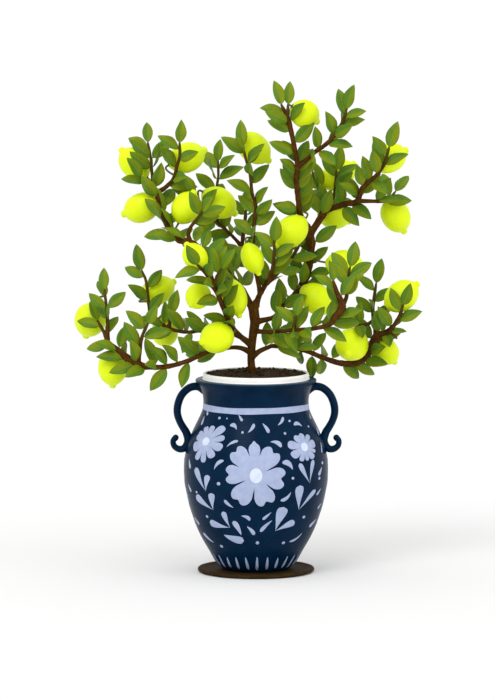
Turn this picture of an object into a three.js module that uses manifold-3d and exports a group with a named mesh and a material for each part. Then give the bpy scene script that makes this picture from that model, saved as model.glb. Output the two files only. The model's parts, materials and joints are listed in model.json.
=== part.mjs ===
// A lemon tree in fruit, growing in a glazed two-handled vase that stands on a round saucer.
// Millimetres, +Z up, +X to the right and +Y to the back. The origin is the middle of the
// saucer's flat underside. Nothing moves: every piece rests on, or grows from, another.

import * as THREE from 'three';
import { mergeVertices } from 'three/addons/utils/BufferGeometryUtils.js';
import Module from 'manifold-3d';

const wasm = await Module();
wasm.setup();

// ---------------------------------------------------------------- driving dimensions

const SEAT_GAP = 0.3; // between pieces that touch
const FINEST_EDGE = 0.02; // shorter edges that a join leaves are closed up
const VIEW_TILT = THREE.MathUtils.degToRad(6); // branches are placed as seen from this far above level

const SAUCER_RADIUS = 117;
const SAUCER_HEIGHT = 9;
const SAUCER_WELL_FLOOR = 6;
const SAUCER_RIM_WIDTH = 16; // from its edge in to the flat of the well
const SAUCER_SIDES = 24;

const VASE_WALL = 8;
const VASE_SIDES = 24;
const HANDLE_SIDES = 7;
const HANDLE_WIDENING = 1.4; // a strap handle is wider than it is thick

const SOIL_EDGE_HEIGHT = 399; // at the collar
const SOIL_CROWN_HEIGHT = 402; // in the middle of the mound

const TRUNK_SIDES = 8;
const BRANCH_SIDES = 5;
const STALK_SIDES = 4;
const RING_SPACING = 44; // longest stretch of a branch between two rings

const STALK_RADIUS = 1.9;
const STALK_NECK = 11; // straight stretch of the stalk behind the fruit
const CALYX_RADIUS = 4;

const LEMON_SIDES = 8;

const LEAF_STEP = 22.6; // along a branch, from one leaf to the next
const LEAF_LENGTH = { least: 47, most: 60 };
const LEAF_WIDTH_SHARE = 0.44; // of its length
const LEAF_ROOT_DEPTH = 2.6; // below the bark
const LEAF_CLEARANCE = 0.6;
const ROOT_SHARE = 0.16; // the start of a blade that may touch its own stem and its neighbours there
const BLADE_HALF_THICKNESS = 0.4;
const RIB_HALF_THICKNESS = 0.75;
const BLADE_ARCH = 0.2; // rise of the middle, as a share of the length times u (1 - u)
const BLADE_DROOP = 0.06; // fall of the tip, as a share of the length
const BLADE_FOLD = 0.32; // rise of each half towards its edge

// ---------------------------------------------------------------- solids

const UP = new THREE.Vector3(0, 0, 1);
const BACK = new THREE.Vector3(0, 1, 0);

function solidOf(geometry) {
  geometry.deleteAttribute('normal');
  geometry.deleteAttribute('uv');
  const merged = mergeVertices(geometry);
  const corners = [];
  for (let i = 0; i < merged.index.count; i += 3) {
    const [a, b, c] = [0, 1, 2].map((k) => merged.index.getX(i + k));
    if (a !== b && b !== c && c !== a) corners.push(a, b, c);
  }
  return new wasm.Manifold(new wasm.Mesh({
    numProp: 3,
    vertProperties: new Float32Array(merged.attributes.position.array),
    triVerts: new Uint32Array(corners),
  }));
}

function geometryOf(solid) {
  const mesh = solid.getMesh();
  const geometry = new THREE.BufferGeometry();
  geometry.setAttribute('position', new THREE.BufferAttribute(mesh.vertProperties, 3));
  geometry.setIndex(new THREE.BufferAttribute(mesh.triVerts, 1));
  geometry.computeVertexNormals();
  return geometry;
}

// The largest body of a solid, without the loose scraps that a cut can leave.
function mainBody(solid) {
  const bodies = solid.decompose();
  return bodies.reduce((best, body) => (body.volume() > best.volume() ? body : best));
}

// A turned form about +Z, from a profile of [radius, height] pairs.
function turned(profile, sides) {
  const outline = profile.map(([radius, height]) => new THREE.Vector2(radius, height));
  return new THREE.LatheGeometry(outline, sides).rotateX(Math.PI / 2);
}

// A place seen from the front: across, up the view, and back from the middle of the part.
function seenAt([across, up, back]) {
  const height = (up - back * Math.sin(VIEW_TILT)) / Math.cos(VIEW_TILT);
  return new THREE.Vector3(across, back, height);
}

// A smooth line through points, with a radius at each point.
class Limb {
  constructor(points, radii) {
    this.curve = new THREE.CatmullRomCurve3(points, false, 'catmullrom', 0.5);
    this.radii = radii;
    this.spans = points.slice(1).map((point, i) => point.distanceTo(points[i]));
    this.length = this.spans.reduce((sum, span) => sum + span, 0);
  }

  pointAt(knot) {
    return this.curve.getPoint(knot / this.spans.length);
  }

  tangentAt(knot) {
    const reach = 0.02;
    const before = this.pointAt(Math.max(knot - reach, 0));
    const after = this.pointAt(Math.min(knot + reach, this.spans.length));
    return after.sub(before).normalize();
  }

  radiusAt(knot) {
    const first = Math.min(Math.floor(knot), this.spans.length - 1);
    return THREE.MathUtils.lerp(this.radii[first], this.radii[first + 1], knot - first);
  }

  // The knot value at a distance along the straight stretches between the points.
  knotAt(distance) {
    let left = distance;
    for (const [i, span] of this.spans.entries()) {
      if (left <= span) return i + left / span;
      left -= span;
    }
    return this.spans.length;
  }

  // A cylinder bent along the line, grown by a clearance and widened to the back and front.
  solid(sides, grow = 0, widening = 1) {
    const knots = [0];
    this.spans.forEach((span, i) => {
      const steps = Math.max(1, Math.round(span / RING_SPACING));
      for (let k = 1; k <= steps; k += 1) knots.push(i + k / steps);
    });
    const rings = knots.length - 1;
    const chord = this.pointAt(this.spans.length).sub(this.pointAt(0)).normalize();
    const reference = Math.abs(chord.y) > 0.85 ? UP : BACK;
    const frames = knots.map((knot) => {
      const along = this.tangentAt(knot);
      const side = along.clone().cross(reference).normalize();
      const wide = along.clone().cross(side);
      const radius = this.radiusAt(knot) + grow / Math.cos(Math.PI / sides);
      return { centre: this.pointAt(knot), along, side, wide, radius };
    });
    frames.at(0).centre.addScaledVector(frames.at(0).along, -grow);
    frames.at(-1).centre.addScaledVector(frames.at(-1).along, grow);
    const geometry = new THREE.CylinderGeometry(1, 1, 1, sides, rings);
    const position = geometry.attributes.position;
    const corner = new THREE.Vector3();
    for (let i = 0; i < position.count; i += 1) {
      corner.fromBufferAttribute(position, i);
      const ring = Math.round((0.5 - corner.y) * rings);
      const { centre, side, wide, radius } = frames[ring];
      const place = centre.clone()
        .addScaledVector(side, corner.x * radius)
        .addScaledVector(wide, corner.z * radius * widening);
      position.setXYZ(i, place.x, place.y, place.z);
    }
    return solidOf(geometry);
  }
}

// ---------------------------------------------------------------- saucer

function saucerGeometry() {
  const wellRadius = SAUCER_RADIUS - SAUCER_RIM_WIDTH;
  return turned([
    [0, 0],
    [SAUCER_RADIUS - 6, 0],
    [SAUCER_RADIUS, 3.5],
    [SAUCER_RADIUS - 2, SAUCER_HEIGHT],
    [SAUCER_RADIUS - 9, SAUCER_HEIGHT],
    [wellRadius, SAUCER_WELL_FLOOR],
    [0, SAUCER_WELL_FLOOR],
  ], SAUCER_SIDES);
}

// ---------------------------------------------------------------- vase

const VASE_FOOT = SAUCER_WELL_FLOOR + SEAT_GAP;
const VASE_OUTSIDE = [ // [radius, height], from the foot up to the lip
  [66, VASE_FOOT],
  [80, 20],
  [95, 45],
  [110.5, 72],
  [123, 101],
  [135, 140],
  [143.4, 183],
  [144, 222],
  [137.5, 257],
  [126, 286],
  [109, 322],
  [105.4, 342],
  [109, 364],
  [121, 384],
];
const VASE_LIP = [ // the flange's flat top, and the collar that stands up inside it
  [119.5, 388],
  [106.5, 389.5],
  [106, 399.5],
  [104.5, 401],
  [100.5, 401],
];
const VASE_FLOOR_HEIGHT = 22;
const VASE_FLOOR_RADIUS = 58;
const FOOT_RING = { hollow: 3, inside: 52, standsOn: 56 }; // turned recess under the foot

// The inner wall follows every other step of the outside, one wall and a clearance in.
function vaseInside(clearance) {
  const wall = [];
  for (let i = 2; i < VASE_OUTSIDE.length - 1; i += 2) {
    const [radius, height] = VASE_OUTSIDE[i];
    const [radiusBelow, heightBelow] = VASE_OUTSIDE[i - 1];
    const [radiusAbove, heightAbove] = VASE_OUTSIDE[i + 1];
    const slope = Math.hypot(radiusAbove - radiusBelow, heightAbove - heightBelow);
    const inward = (VASE_WALL + clearance) / slope;
    wall.push([
      radius - (heightAbove - heightBelow) * inward,
      height + (radiusAbove - radiusBelow) * inward,
    ]);
  }
  return wall;
}

const HANDLE_ROUTE = [ // [radius, height, half thickness], from the neck round to the scroll's tip
  [100, 364, 7.8],
  [116, 373, 7.8],
  [133, 370.5, 7.8],
  [148, 357, 7.8],
  [156, 338, 7.8],
  [157.5, 320, 7.6],
  [153, 304, 7.4],
  [146, 291, 7.6],
  [139.5, 280, 8],
  [135.5, 263, 8.6],
  [143, 249.5, 7.6],
  [154, 247, 6.8],
  [163.5, 253, 6.2],
  [166, 263, 5.8],
  [161, 270, 5.6],
];
const SCROLL_BALL_RADIUS = 6.4;

function handleSolid(side) {
  const points = HANDLE_ROUTE.map(([radius, height]) => new THREE.Vector3(side * radius, 0, height));
  const halves = HANDLE_ROUTE.map(([, , half]) => half);
  const strap = new Limb(points, halves).solid(HANDLE_SIDES, 0, HANDLE_WIDENING);
  const ball = new THREE.SphereGeometry(SCROLL_BALL_RADIUS, HANDLE_SIDES, 6);
  ball.rotateX(Math.PI / 2).scale(1, HANDLE_WIDENING, 1);
  const tip = points.at(-1);
  ball.translate(tip.x, tip.y, tip.z);
  return strap.add(solidOf(ball));
}

function vaseSolid() {
  const inside = vaseInside(0);
  const [mouthRadius, mouthHeight] = VASE_LIP.at(-1);
  const body = turned([
    [0, VASE_FOOT + FOOT_RING.hollow],
    [FOOT_RING.inside, VASE_FOOT + FOOT_RING.hollow],
    [FOOT_RING.standsOn, VASE_FOOT],
    ...VASE_OUTSIDE,
    ...VASE_LIP,
    ...inside.toReversed(),
    [VASE_FLOOR_RADIUS, VASE_FLOOR_HEIGHT],
    [0, VASE_FLOOR_HEIGHT],
  ], VASE_SIDES);
  const hollow = turned([
    [0, VASE_FLOOR_HEIGHT],
    [VASE_FLOOR_RADIUS, VASE_FLOOR_HEIGHT],
    ...inside,
    [mouthRadius, mouthHeight],
    [mouthRadius, mouthHeight + 2],
    [0, mouthHeight + 2],
  ], VASE_SIDES);
  return solidOf(body).add(handleSolid(-1)).add(handleSolid(1)).subtract(solidOf(hollow))
    .asOriginal().simplify(FINEST_EDGE);
}

// ---------------------------------------------------------------- stems

// Each stem has the node that it is part of, the stem that it grows from, the stretch at its
// start that carries no leaves, and its route as [across, up, back, radius]. A stem that forks
// at its end has no leaf there.
const STEMS = {
  trunk: {
    node: 'trunk', from: null, bare: Infinity,
    route: [
      [-8, 352, 0, 8.5], [-8, 394, 0, 8], [-10, 424, 0, 7.4], [-9, 444, 0, 7.8],
      [-6, 474, 0, 8.4], [-2, 500, 0, 10], [-4, 520, 0, 10.5], [-1, 540, 0, 7],
    ],
  },

  rear: {
    node: 'branch_rear', from: 'trunk', bare: 120,
    route: [
      [-5, 522, 0, 6.5], [-24, 560, 15, 6], [-32, 572, 40, 5.6], [-50, 598, 80, 5],
      [-44, 616, 95, 4.6], [-32, 634, 110, 4.2], [-26, 674, 130, 4], [-22, 704, 140, 3.6],
      [-20, 730, 150, 3],
    ],
  },
  rear_shoot: {
    node: 'branch_rear', from: 'rear', bare: 14,
    route: [[-50, 598, 80, 3.6], [-68, 620, 110, 3.2], [-74, 640, 130, 2.8]],
  },
  cross: {
    node: 'branch_cross', from: 'rear', bare: 34,
    route: [
      [-29, 654, 120, 3.6], [-44, 670, 112, 3.4], [-56, 682, 104, 3.3], [-78, 700, 88, 3.2],
      [-92, 706, 66, 3.2], [-102, 720, 48, 3], [-112, 740, 32, 3], [-126, 750, 18, 2.6],
    ],
  },
  cross_shoot: {
    node: 'branch_cross', from: 'cross', bare: 26,
    route: [
      [-78, 700, 88, 3.1], [-84, 734, 100, 2.9], [-80, 764, 106, 2.8], [-76, 794, 110, 2.6],
      [-76, 824, 112, 2.3],
    ],
  },

  front_left: {
    node: 'branch_front_left', from: 'trunk', bare: 76,
    route: [
      [-8, 454, 0, 6.2], [-32, 472, -20, 5.6], [-48, 490, -40, 5.5], [-60, 516, -62, 5.2],
      [-70, 540, -80, 5], [-84, 572, -110, 4.4], [-100, 596, -130, 3.7], [-116, 612, -150, 3],
    ],
  },
  front_left_shoot: {
    node: 'branch_front_left', from: 'front_left', bare: 10,
    route: [[-84, 572, -110, 3], [-76, 592, -118, 2.8], [-68, 604, -126, 2.4]],
  },
  upper_left: {
    node: 'branch_upper_left', from: 'front_left', bare: 40,
    route: [
      [-84, 572, -109, 4.2], [-94, 606, -98, 4.8], [-104, 638, -86, 5], [-128, 658, -60, 5.2],
      [-152, 664, -32, 7.8], [-168, 682, -10, 7.8], [-182, 704, 5, 6], [-188, 724, 20, 5.4],
      [-194, 744, 30, 5.2], [-200, 762, 40, 5.2], [-216, 776, 30, 3.6], [-230, 788, 20, 2.8],
    ],
  },
  upper_left_top: {
    node: 'branch_upper_left', from: 'upper_left', bare: 20,
    route: [
      [-204, 766, 38, 3.6], [-209, 804, 50, 3.2], [-210, 824, 60, 3], [-214, 844, 72, 2.8],
      [-217, 860, 82, 2.4],
    ],
  },
  upper_left_inner: {
    node: 'branch_upper_left_inner', from: 'upper_left', bare: 18,
    route: [
      [-132, 660, -56, 3.8], [-134, 680, -60, 3.5], [-122, 698, -70, 3.2],
      [-112, 710, -80, 3], [-106, 718, -92, 2.6],
    ],
  },
  upper_left_fork: {
    node: 'branch_upper_left_fork', from: 'upper_left', bare: 24,
    route: [
      [-199, 758, 38, 4.6], [-180, 770, 30, 4.2], [-164, 788, 18, 3.8], [-158, 810, 5, 3.4],
      [-152, 830, -8, 3.1], [-152, 856, -20, 2.6],
    ],
  },

  low_left: {
    node: 'branch_low_left', from: 'trunk', bare: 90,
    route: [
      [-10, 440, 0, 5.2], [-36, 449, -12, 4.4], [-72, 446, -30, 4.2], [-102, 438, -42, 4.4],
      [-132, 424, -55, 4.6], [-172, 412, -70, 4.8], [-212, 410, -82, 5.2], [-234, 416, -88, 8],
      [-256, 428, -86, 7.8], [-274, 444, -76, 5.2], [-294, 460, -66, 4.4], [-302, 478, -52, 3.6],
      [-316, 502, -30, 2.8],
    ],
  },
  low_left_tall: {
    node: 'branch_low_left', from: 'low_left', bare: 18,
    route: [
      [-296, 464, -63, 3.9], [-295, 494, -58, 3.6], [-297, 524, -50, 3.3], [-302, 564, -42, 2.7],
    ],
  },
  low_left_inner: {
    node: 'branch_low_left', from: 'low_left', bare: 16,
    route: [[-234, 416, -88, 4.2], [-228, 462, -100, 3.6], [-222, 480, -110, 3.3], [-214, 496, -122, 2.8]],
  },
  back_left: {
    node: 'branch_back_left', from: 'front_left', bare: 84,
    route: [
      [-32, 472, -20, 4.2], [-62, 478, 10, 3.6], [-112, 482, 60, 3.6], [-136, 480, 74, 3.6],
      [-156, 482, 84, 3.7], [-176, 488, 92, 3.8], [-192, 498, 98, 3.7], [-206, 506, 104, 3.6],
      [-214, 520, 110, 3.5], [-218, 554, 114, 3.2], [-222, 584, 118, 3], [-230, 604, 120, 2.5],
    ],
  },
  back_left_shoot: {
    node: 'branch_back_left', from: 'back_left', bare: 10,
    route: [[-176, 488, 92, 3.2], [-172, 508, 88, 2.8], [-170, 518, 86, 2.5]],
  },

  centre: {
    node: 'branch_centre', from: 'trunk', bare: 50,
    route: [
      [-1, 532, 0, 5.6], [6, 552, -4, 5.2], [14, 566, -10, 4.8], [24, 582, -25, 4.3],
      [30, 596, -40, 3.9], [34, 612, -50, 3.6], [36, 634, -64, 3.2], [36, 660, -80, 2.7],
    ],
  },
  centre_tall: {
    node: 'branch_centre_tall', from: 'centre', bare: 60,
    route: [
      [9, 557, -7, 4.4], [2, 588, -20, 4.1], [-8, 624, -12, 4], [-6, 658, 0, 3.9],
      [-4, 694, 0, 3.8], [0, 728, -8, 3.6], [-8, 758, -20, 3.4], [-12, 794, -40, 3.2],
      [-20, 822, -50, 2.9], [-26, 848, -48, 2.5],
    ],
  },
  centre_right: {
    node: 'branch_centre_right', from: 'centre', bare: 40,
    route: [
      [22, 578, -22, 4], [40, 596, 0, 5.2], [54, 610, 20, 5], [66, 622, 34, 4.4],
      [76, 636, 46, 3.7], [86, 652, 60, 2.9],
    ],
  },

  right: {
    node: 'branch_right', from: 'trunk', bare: 96, forksAtEnd: true,
    route: [
      [-2, 500, 0, 6], [16, 504, 5, 5], [32, 508, 12, 4.7], [42, 516, 20, 4.7],
      [60, 540, 36, 5], [72, 550, 50, 5.4], [90, 568, 62, 7.4], [98, 588, 70, 9.5],
      [106, 612, 66, 7.8], [110, 644, 62, 7.8], [110, 662, 58, 9.2], [104, 692, 44, 7.6],
    ],
  },
  crown_left: {
    node: 'branch_crown_left', from: 'right', bare: 26,
    route: [
      [106, 684, 47, 6.2], [96, 702, 34, 6], [88, 716, 20, 5.6], [84, 744, -10, 5.2],
      [80, 784, -40, 5.4], [82, 812, -60, 4.8], [74, 854, -80, 4.7], [66, 892, -88, 4.9],
      [60, 908, -90, 4.6], [50, 928, -94, 3],
    ],
  },
  crown_left_shoot: {
    node: 'branch_crown_left', from: 'crown_left', bare: 8,
    route: [[61, 904, -90, 3.6], [63, 917, -89, 3.2], [63, 929, -87, 2.6]],
  },
  crown_shoulder: {
    node: 'branch_crown_shoulder', from: 'crown_left', bare: 26,
    route: [
      [81, 806, -56, 4.4], [104, 824, -76, 4.6], [114, 834, -88, 4.7], [140, 852, -108, 4.1],
      [162, 878, -118, 3.6], [174, 902, -125, 3.3], [178, 918, -130, 2.7],
    ],
  },
  crown_right: {
    node: 'branch_crown_right', from: 'right', bare: 26,
    route: [
      [108, 676, 52, 5.8], [124, 700, 70, 7], [138, 724, 88, 7.8], [142, 744, 100, 7.6],
      [132, 764, 110, 5], [120, 782, 120, 4], [114, 802, 130, 3],
    ],
  },
  crown_right_shoot: {
    node: 'branch_crown_right', from: 'crown_right', bare: 12,
    route: [[141, 740, 98, 4], [156, 752, 92, 3.5], [160, 784, 86, 3.1], [162, 804, 80, 2.6]],
  },
  far_right: {
    node: 'branch_far_right', from: 'crown_right', bare: 40,
    route: [
      [138, 724, 88, 5.4], [176, 736, 60, 6.2], [202, 742, 30, 5.6], [210, 764, 0, 5],
      [224, 778, -10, 4.3], [236, 788, -20, 3.9], [254, 812, -30, 3.6], [264, 846, -40, 2.8],
    ],
  },
  far_right_low: {
    node: 'branch_far_right_low', from: 'far_right', bare: 26,
    route: [
      [202, 742, 30, 4], [238, 742, 46, 3.8], [252, 742, 60, 3.7], [266, 746, 74, 3.3],
      [280, 762, 90, 2.6],
    ],
  },

  front_right: {
    node: 'branch_front_right', from: 'trunk', bare: 60,
    route: [
      [-5, 482, 0, 4.8], [28, 480, -25, 3.8], [54, 482, -50, 3.7], [92, 485, -75, 3.8],
      [112, 486, -90, 4.1], [144, 494, -110, 4.6], [154, 506, -120, 6.8], [170, 530, -130, 8],
      [160, 556, -140, 4.6], [152, 580, -150, 3.2],
    ],
  },
  front_right_shoot: {
    node: 'branch_front_right', from: 'front_right', bare: 8,
    route: [[74, 484, -64, 3], [77, 500, -69, 2.8], [80, 512, -74, 2.5]],
  },
  front_right_tall: {
    node: 'branch_front_right_tall', from: 'front_right', bare: 26,
    route: [
      [168, 526, -128, 4.4], [178, 546, -118, 3.9], [180, 564, -110, 3.5], [182, 584, -100, 3.3],
      [186, 608, -90, 2.7],
    ],
  },

  low_right: {
    node: 'branch_low_right', from: 'trunk', bare: 90,
    route: [
      [-9, 430, 0, 5.4], [8, 442, 6, 4.8], [24, 449, 13, 4.5], [38, 452, 20, 4.4],
      [94, 444, 60, 4.6], [132, 430, 78, 5], [164, 419, 90, 5.6], [194, 417, 92, 7],
      [214, 426, 88, 8.6], [236, 454, 78, 10], [244, 472, 68, 9.2], [264, 480, 42, 6.3],
      [278, 496, 22, 4.1], [288, 514, 10, 3.6], [294, 534, 0, 2.7],
    ],
  },
  low_right_stub: {
    node: 'branch_low_right', from: 'low_right', bare: 40,
    route: [[262, 479, 44, 3.8], [272, 476, 40, 3.4], [282, 468, 36, 2.8]],
  },
  low_right_tall: {
    node: 'branch_low_right_tall', from: 'low_right', bare: 18,
    route: [
      [243, 470, 70, 5], [240, 488, 76, 4.3], [236, 506, 80, 3.8], [236, 534, 84, 3.5],
      [238, 550, 86, 3.3], [242, 578, 90, 2.7],
    ],
  },
  low_right_inner: {
    node: 'branch_low_right_tall', from: 'low_right_tall', bare: 12,
    route: [[237, 502, 79, 3.4], [216, 494, 62, 3], [198, 498, 44, 2.6]],
  },
};

const limbs = {};
for (const [name, { route }] of Object.entries(STEMS)) {
  limbs[name] = new Limb(route.map(seenAt), route.map((point) => point[3]));
}
const sidesOf = (name) => (name === 'trunk' ? TRUNK_SIDES : BRANCH_SIDES);

// ---------------------------------------------------------------- lemons

// Each lemon's middle as [across, up, back], the way that its nipple points in the same three
// directions, its length and thickness, and the stem that carries it.
const LEMONS = [
  { at: [-246, 820, 76], points: [-30, 32, 4], length: 80, thick: 58, stem: 'upper_left_top' },
  { at: [-232, 728, 48], points: [-46, -16, 6], length: 82, thick: 60, stem: 'upper_left' },
  { at: [-136, 830, 40], points: [42, 18, 8], length: 84, thick: 60, stem: 'upper_left_fork' },
  { at: [-138, 730, -12], points: [16, 32, 0], length: 74, thick: 58, stem: 'upper_left' },
  { at: [-72, 738, 58], points: [36, -24, 4], length: 84, thick: 60, stem: 'cross' },
  { at: [-2, 844, -10], points: [34, -29, 6], length: 84, thick: 58, stem: 'centre_tall' },
  { at: [98, 910, -72], points: [24, -14, 10], length: 68, thick: 56, stem: 'crown_left_shoot' },
  { at: [268, 828, 8], points: [34, 16, 8], length: 80, thick: 58, stem: 'far_right' },
  { at: [168, 798, 128], points: [34, 24, 4], length: 84, thick: 58, stem: 'crown_right' },
  { at: [159, 716, 124], points: [32, -14, 8], length: 76, thick: 58, stem: 'crown_right' },
  { at: [282, 712, 98], points: [18, -32, 6], length: 80, thick: 58, stem: 'far_right_low' },
  { at: [68, 678, -6], points: [-32, -30, -8], length: 84, thick: 60, stem: 'crown_left' },
  { at: [-6, 624, -48], points: [14, -34, -6], length: 70, thick: 44, stem: 'centre_tall' },
  { at: [-122, 630, -118], points: [-16, 24, 8], length: 66, thick: 48, stem: 'front_left' },
  { at: [-42, 546, -58], points: [10, -38, -6], length: 80, thick: 50, stem: 'front_left' },
  { at: [-116, 550, -72], points: [-16, -22, -22], length: 62, thick: 50, stem: 'front_left' },
  { at: [-80, 468, -78], points: [-34, -10, -26], length: 80, thick: 62, stem: 'front_left' },
  { at: [-196, 566, 152], points: [36, 20, 10], length: 80, thick: 58, stem: 'back_left' },
  { at: [-332, 502, 8], points: [-10, -34, 12], length: 78, thick: 64, stem: 'low_left_tall' },
  { at: [-184, 478, 134], points: [2, -34, 14], length: 68, thick: 54, stem: 'back_left' },
  { at: [-286, 406, -50], points: [0, -38, 8], length: 80, thick: 58, stem: 'low_left' },
  { at: [180, 614, 22], points: [44, -6, -14], length: 84, thick: 60, stem: 'right' },
  { at: [124, 544, 28], points: [34, -26, -12], length: 84, thick: 60, stem: 'right' },
  { at: [192, 454, 46], points: [-12, -22, -34], length: 78, thick: 66, stem: 'low_right_inner' },
  { at: [294, 554, 42], points: [34, 26, 6], length: 84, thick: 60, stem: 'low_right_tall' },
  { at: [264, 440, 104], points: [18, -22, 8], length: 66, thick: 50, stem: 'low_right' },
];

const LEMON_PROFILE = [ // [share of the half thickness, share of the length from the stalk]
  [0, 0],
  [0.5, 0.06],
  [0.95, 0.32],
  [0.92, 0.62],
  [0.36, 0.89],
  [0.22, 0.96],
  [0, 1],
];

function lemonPlace({ at, points, length, thick, stem }) {
  const centre = seenAt(at);
  const pointing = seenAt(points).normalize();
  const stalkEnd = centre.clone().addScaledVector(pointing, -length / 2);
  return { centre, pointing, stalkEnd, length, thick, stem };
}

function lemonGeometry({ length, thick }) {
  const profile = LEMON_PROFILE.map(([share, from]) => [share * thick / 2, (from - 0.5) * length]);
  return turned(profile, LEMON_SIDES);
}

// The stalk leaves its stem where that is nearest, and ends in the calyx against the fruit.
function stalkSolid({ stalkEnd, pointing, stem }) {
  const limb = limbs[stem];
  const neck = stalkEnd.clone().addScaledVector(pointing, -STALK_NECK);
  let nearest = 0;
  for (let knot = 0.5; knot <= limb.spans.length; knot += 0.05) {
    if (limb.pointAt(knot).distanceTo(neck) < limb.pointAt(nearest).distanceTo(neck)) nearest = knot;
  }
  const root = limb.pointAt(nearest);
  const end = stalkEnd.clone().addScaledVector(pointing, -SEAT_GAP);
  return new Limb(
    [root, neck, end],
    [STALK_RADIUS * 1.2, STALK_RADIUS, CALYX_RADIUS],
  ).solid(STALK_SIDES);
}

// ---------------------------------------------------------------- leaves

// A draw from 0 to 1 that is the same on every run.
function draw(slot, use) {
  const wave = Math.sin(slot * 12.9898 + use * 78.233) * 43758.5453;
  return wave - Math.floor(wave);
}

const LEAF_TURNS = [0, 40, -40, 80, -80, 125, -125, 180]; // degrees about the stem, tried in this order
const LEAF_LEAN = { least: 44, most: 68 }; // degrees from the stem
const LEAF_ROLL_SPREAD = 64; // degrees about the stem
const LEAF_LIFT = 0.22; // how far a leaf bends up from where it points

// Leaf number k of a stem counts back from its tip: leaf 0 ends the stem, and the others stand
// out to the two sides in turn. The blades turn their faces mostly to the front and up.
function leafPlace(name, k, slot, turn) {
  const limb = limbs[name];
  const knot = limb.knotAt(k === 0 ? limb.length : limb.length - (k - 0.3) * LEAF_STEP);
  const tangent = limb.tangentAt(knot);
  const toSide = tangent.clone().cross(BACK).normalize().multiplyScalar(k % 2 ? 1 : -1);
  const toFront = toSide.clone().cross(tangent).normalize();
  const root = limb.pointAt(knot);
  if (k === 0) root.addScaledVector(tangent, -LEAF_ROOT_DEPTH);
  const degrees = LEAF_TURNS[turn];
  const lean = THREE.MathUtils.degToRad(k === 0
    ? 6 + 9 * turn : THREE.MathUtils.lerp(LEAF_LEAN.least, LEAF_LEAN.most, draw(slot, 1)));
  const roll = THREE.MathUtils.degToRad(degrees + LEAF_ROLL_SPREAD * (draw(slot, 2) - 0.5));
  const outward = toSide.multiplyScalar(Math.cos(roll)).addScaledVector(toFront, Math.sin(roll));
  const along = tangent.multiplyScalar(Math.cos(lean)).addScaledVector(outward, Math.sin(lean));
  along.addScaledVector(UP, LEAF_LIFT).normalize();
  const facing = new THREE.Vector3(0.7 * (draw(slot, 3) - 0.5), -0.8, 0.15 + 0.6 * draw(slot, 4));
  const normal = facing.addScaledVector(along, -facing.dot(along)).normalize();
  const length = THREE.MathUtils.lerp(LEAF_LENGTH.least, LEAF_LENGTH.most, draw(slot, 5));
  if (k > 0) root.addScaledVector(outward, Math.max(limb.radiusAt(knot) - LEAF_ROOT_DEPTH, 0));
  return { root, along, normal, across: normal.clone().cross(along), length };
}

const BLADE_RIM = [[0.28, 0.9], [0.66, 0.86]]; // [share of length, share of half width]
const BLADE_MIDDLE = 0.46; // share of the length at the rib's middle corner

function bladeSolid({ root, along, normal, across, length }, start = 0, grow = 0) {
  const halfWidth = length * LEAF_WIDTH_SHARE / 2;
  const rise = (u, v) => length * (BLADE_ARCH * u * (1 - u) - BLADE_DROOP * u)
    + BLADE_FOLD * Math.abs(v) * halfWidth;
  const corners = [];
  const corner = (u, v, lift) => {
    const outward = Math.sign(v) * grow;
    corners.push(root.clone()
      .addScaledVector(along, u * length)
      .addScaledVector(across, v * halfWidth + outward)
      .addScaledVector(normal, rise(u, v) + lift));
    return corners.length - 1;
  };
  const rim = BLADE_HALF_THICKNESS + grow;
  const rib = RIB_HALF_THICKNESS + grow;
  const base = [corner(start, 0, rib), corner(start, 0, -rib)];
  const middle = [corner(BLADE_MIDDLE, 0, rib), corner(BLADE_MIDDLE, 0, -rib)];
  const tip = corner(1 + grow / length, 0, 0);
  const faces = [];
  for (const side of [1, -1]) {
    const edge = BLADE_RIM.map(([u, v]) => [corner(u, side * v, rim), corner(u, side * v, -rim)]);
    const line = [base, ...edge, [tip, tip]];
    const face = (a, b, c) => faces.push(...(side > 0 ? [a, c, b] : [a, b, c]));
    for (let i = 0; i + 1 < line.length; i += 1) {
      const [top, under] = line[i];
      const [nextTop, nextUnder] = line[i + 1];
      face(middle[0], top, nextTop);
      face(middle[1], nextUnder, under);
      face(top, under, nextUnder);
      if (nextTop !== nextUnder) face(top, nextUnder, nextTop);
    }
  }
  return new wasm.Manifold(new wasm.Mesh({
    numProp: 3,
    vertProperties: new Float32Array(corners.flatMap((point) => point.toArray())),
    triVerts: new Uint32Array(faces),
  }));
}

// ---------------------------------------------------------------- assembly

const LOOKS = {
  wood: { color: 0x55300d, roughness: 0.85 },
  leaf: { color: 0x5d7a26, roughness: 0.6 },
  lemon: { color: 0xdcee18, roughness: 0.45 },
  soil: { color: 0x372716, roughness: 1 },
  vase: { color: 0x0e2b44, roughness: 0.3 },
  saucer: { color: 0x392a14, roughness: 0.7 },
};

const tree = new THREE.Group();

function addMesh(name, geometry, look) {
  const material = new THREE.MeshStandardMaterial({ ...LOOKS[look], metalness: 0 });
  const mesh = new THREE.Mesh(geometry, material);
  mesh.name = name;
  tree.add(mesh);
  return mesh;
}

// The wood of each node: its stems joined, and cut clear of the stem that it grows from.
const nodes = [...new Set(Object.values(STEMS).map((stem) => stem.node))];
const wood = {};
for (const node of nodes) {
  const own = Object.keys(STEMS).filter((name) => STEMS[name].node === node);
  wood[node] = wasm.Manifold.union(own.map((name) => limbs[name].solid(sidesOf(name))));
}
for (const [name, { node, from }] of Object.entries(STEMS)) {
  if (!from || STEMS[from].node === node) continue;
  const carrier = Object.keys(STEMS).filter((other) => STEMS[other].node === STEMS[from].node);
  for (const other of carrier) {
    wood[node] = wood[node].subtract(limbs[other].solid(sidesOf(other), SEAT_GAP));
  }
  wood[node] = mainBody(wood[node]);
}

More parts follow.
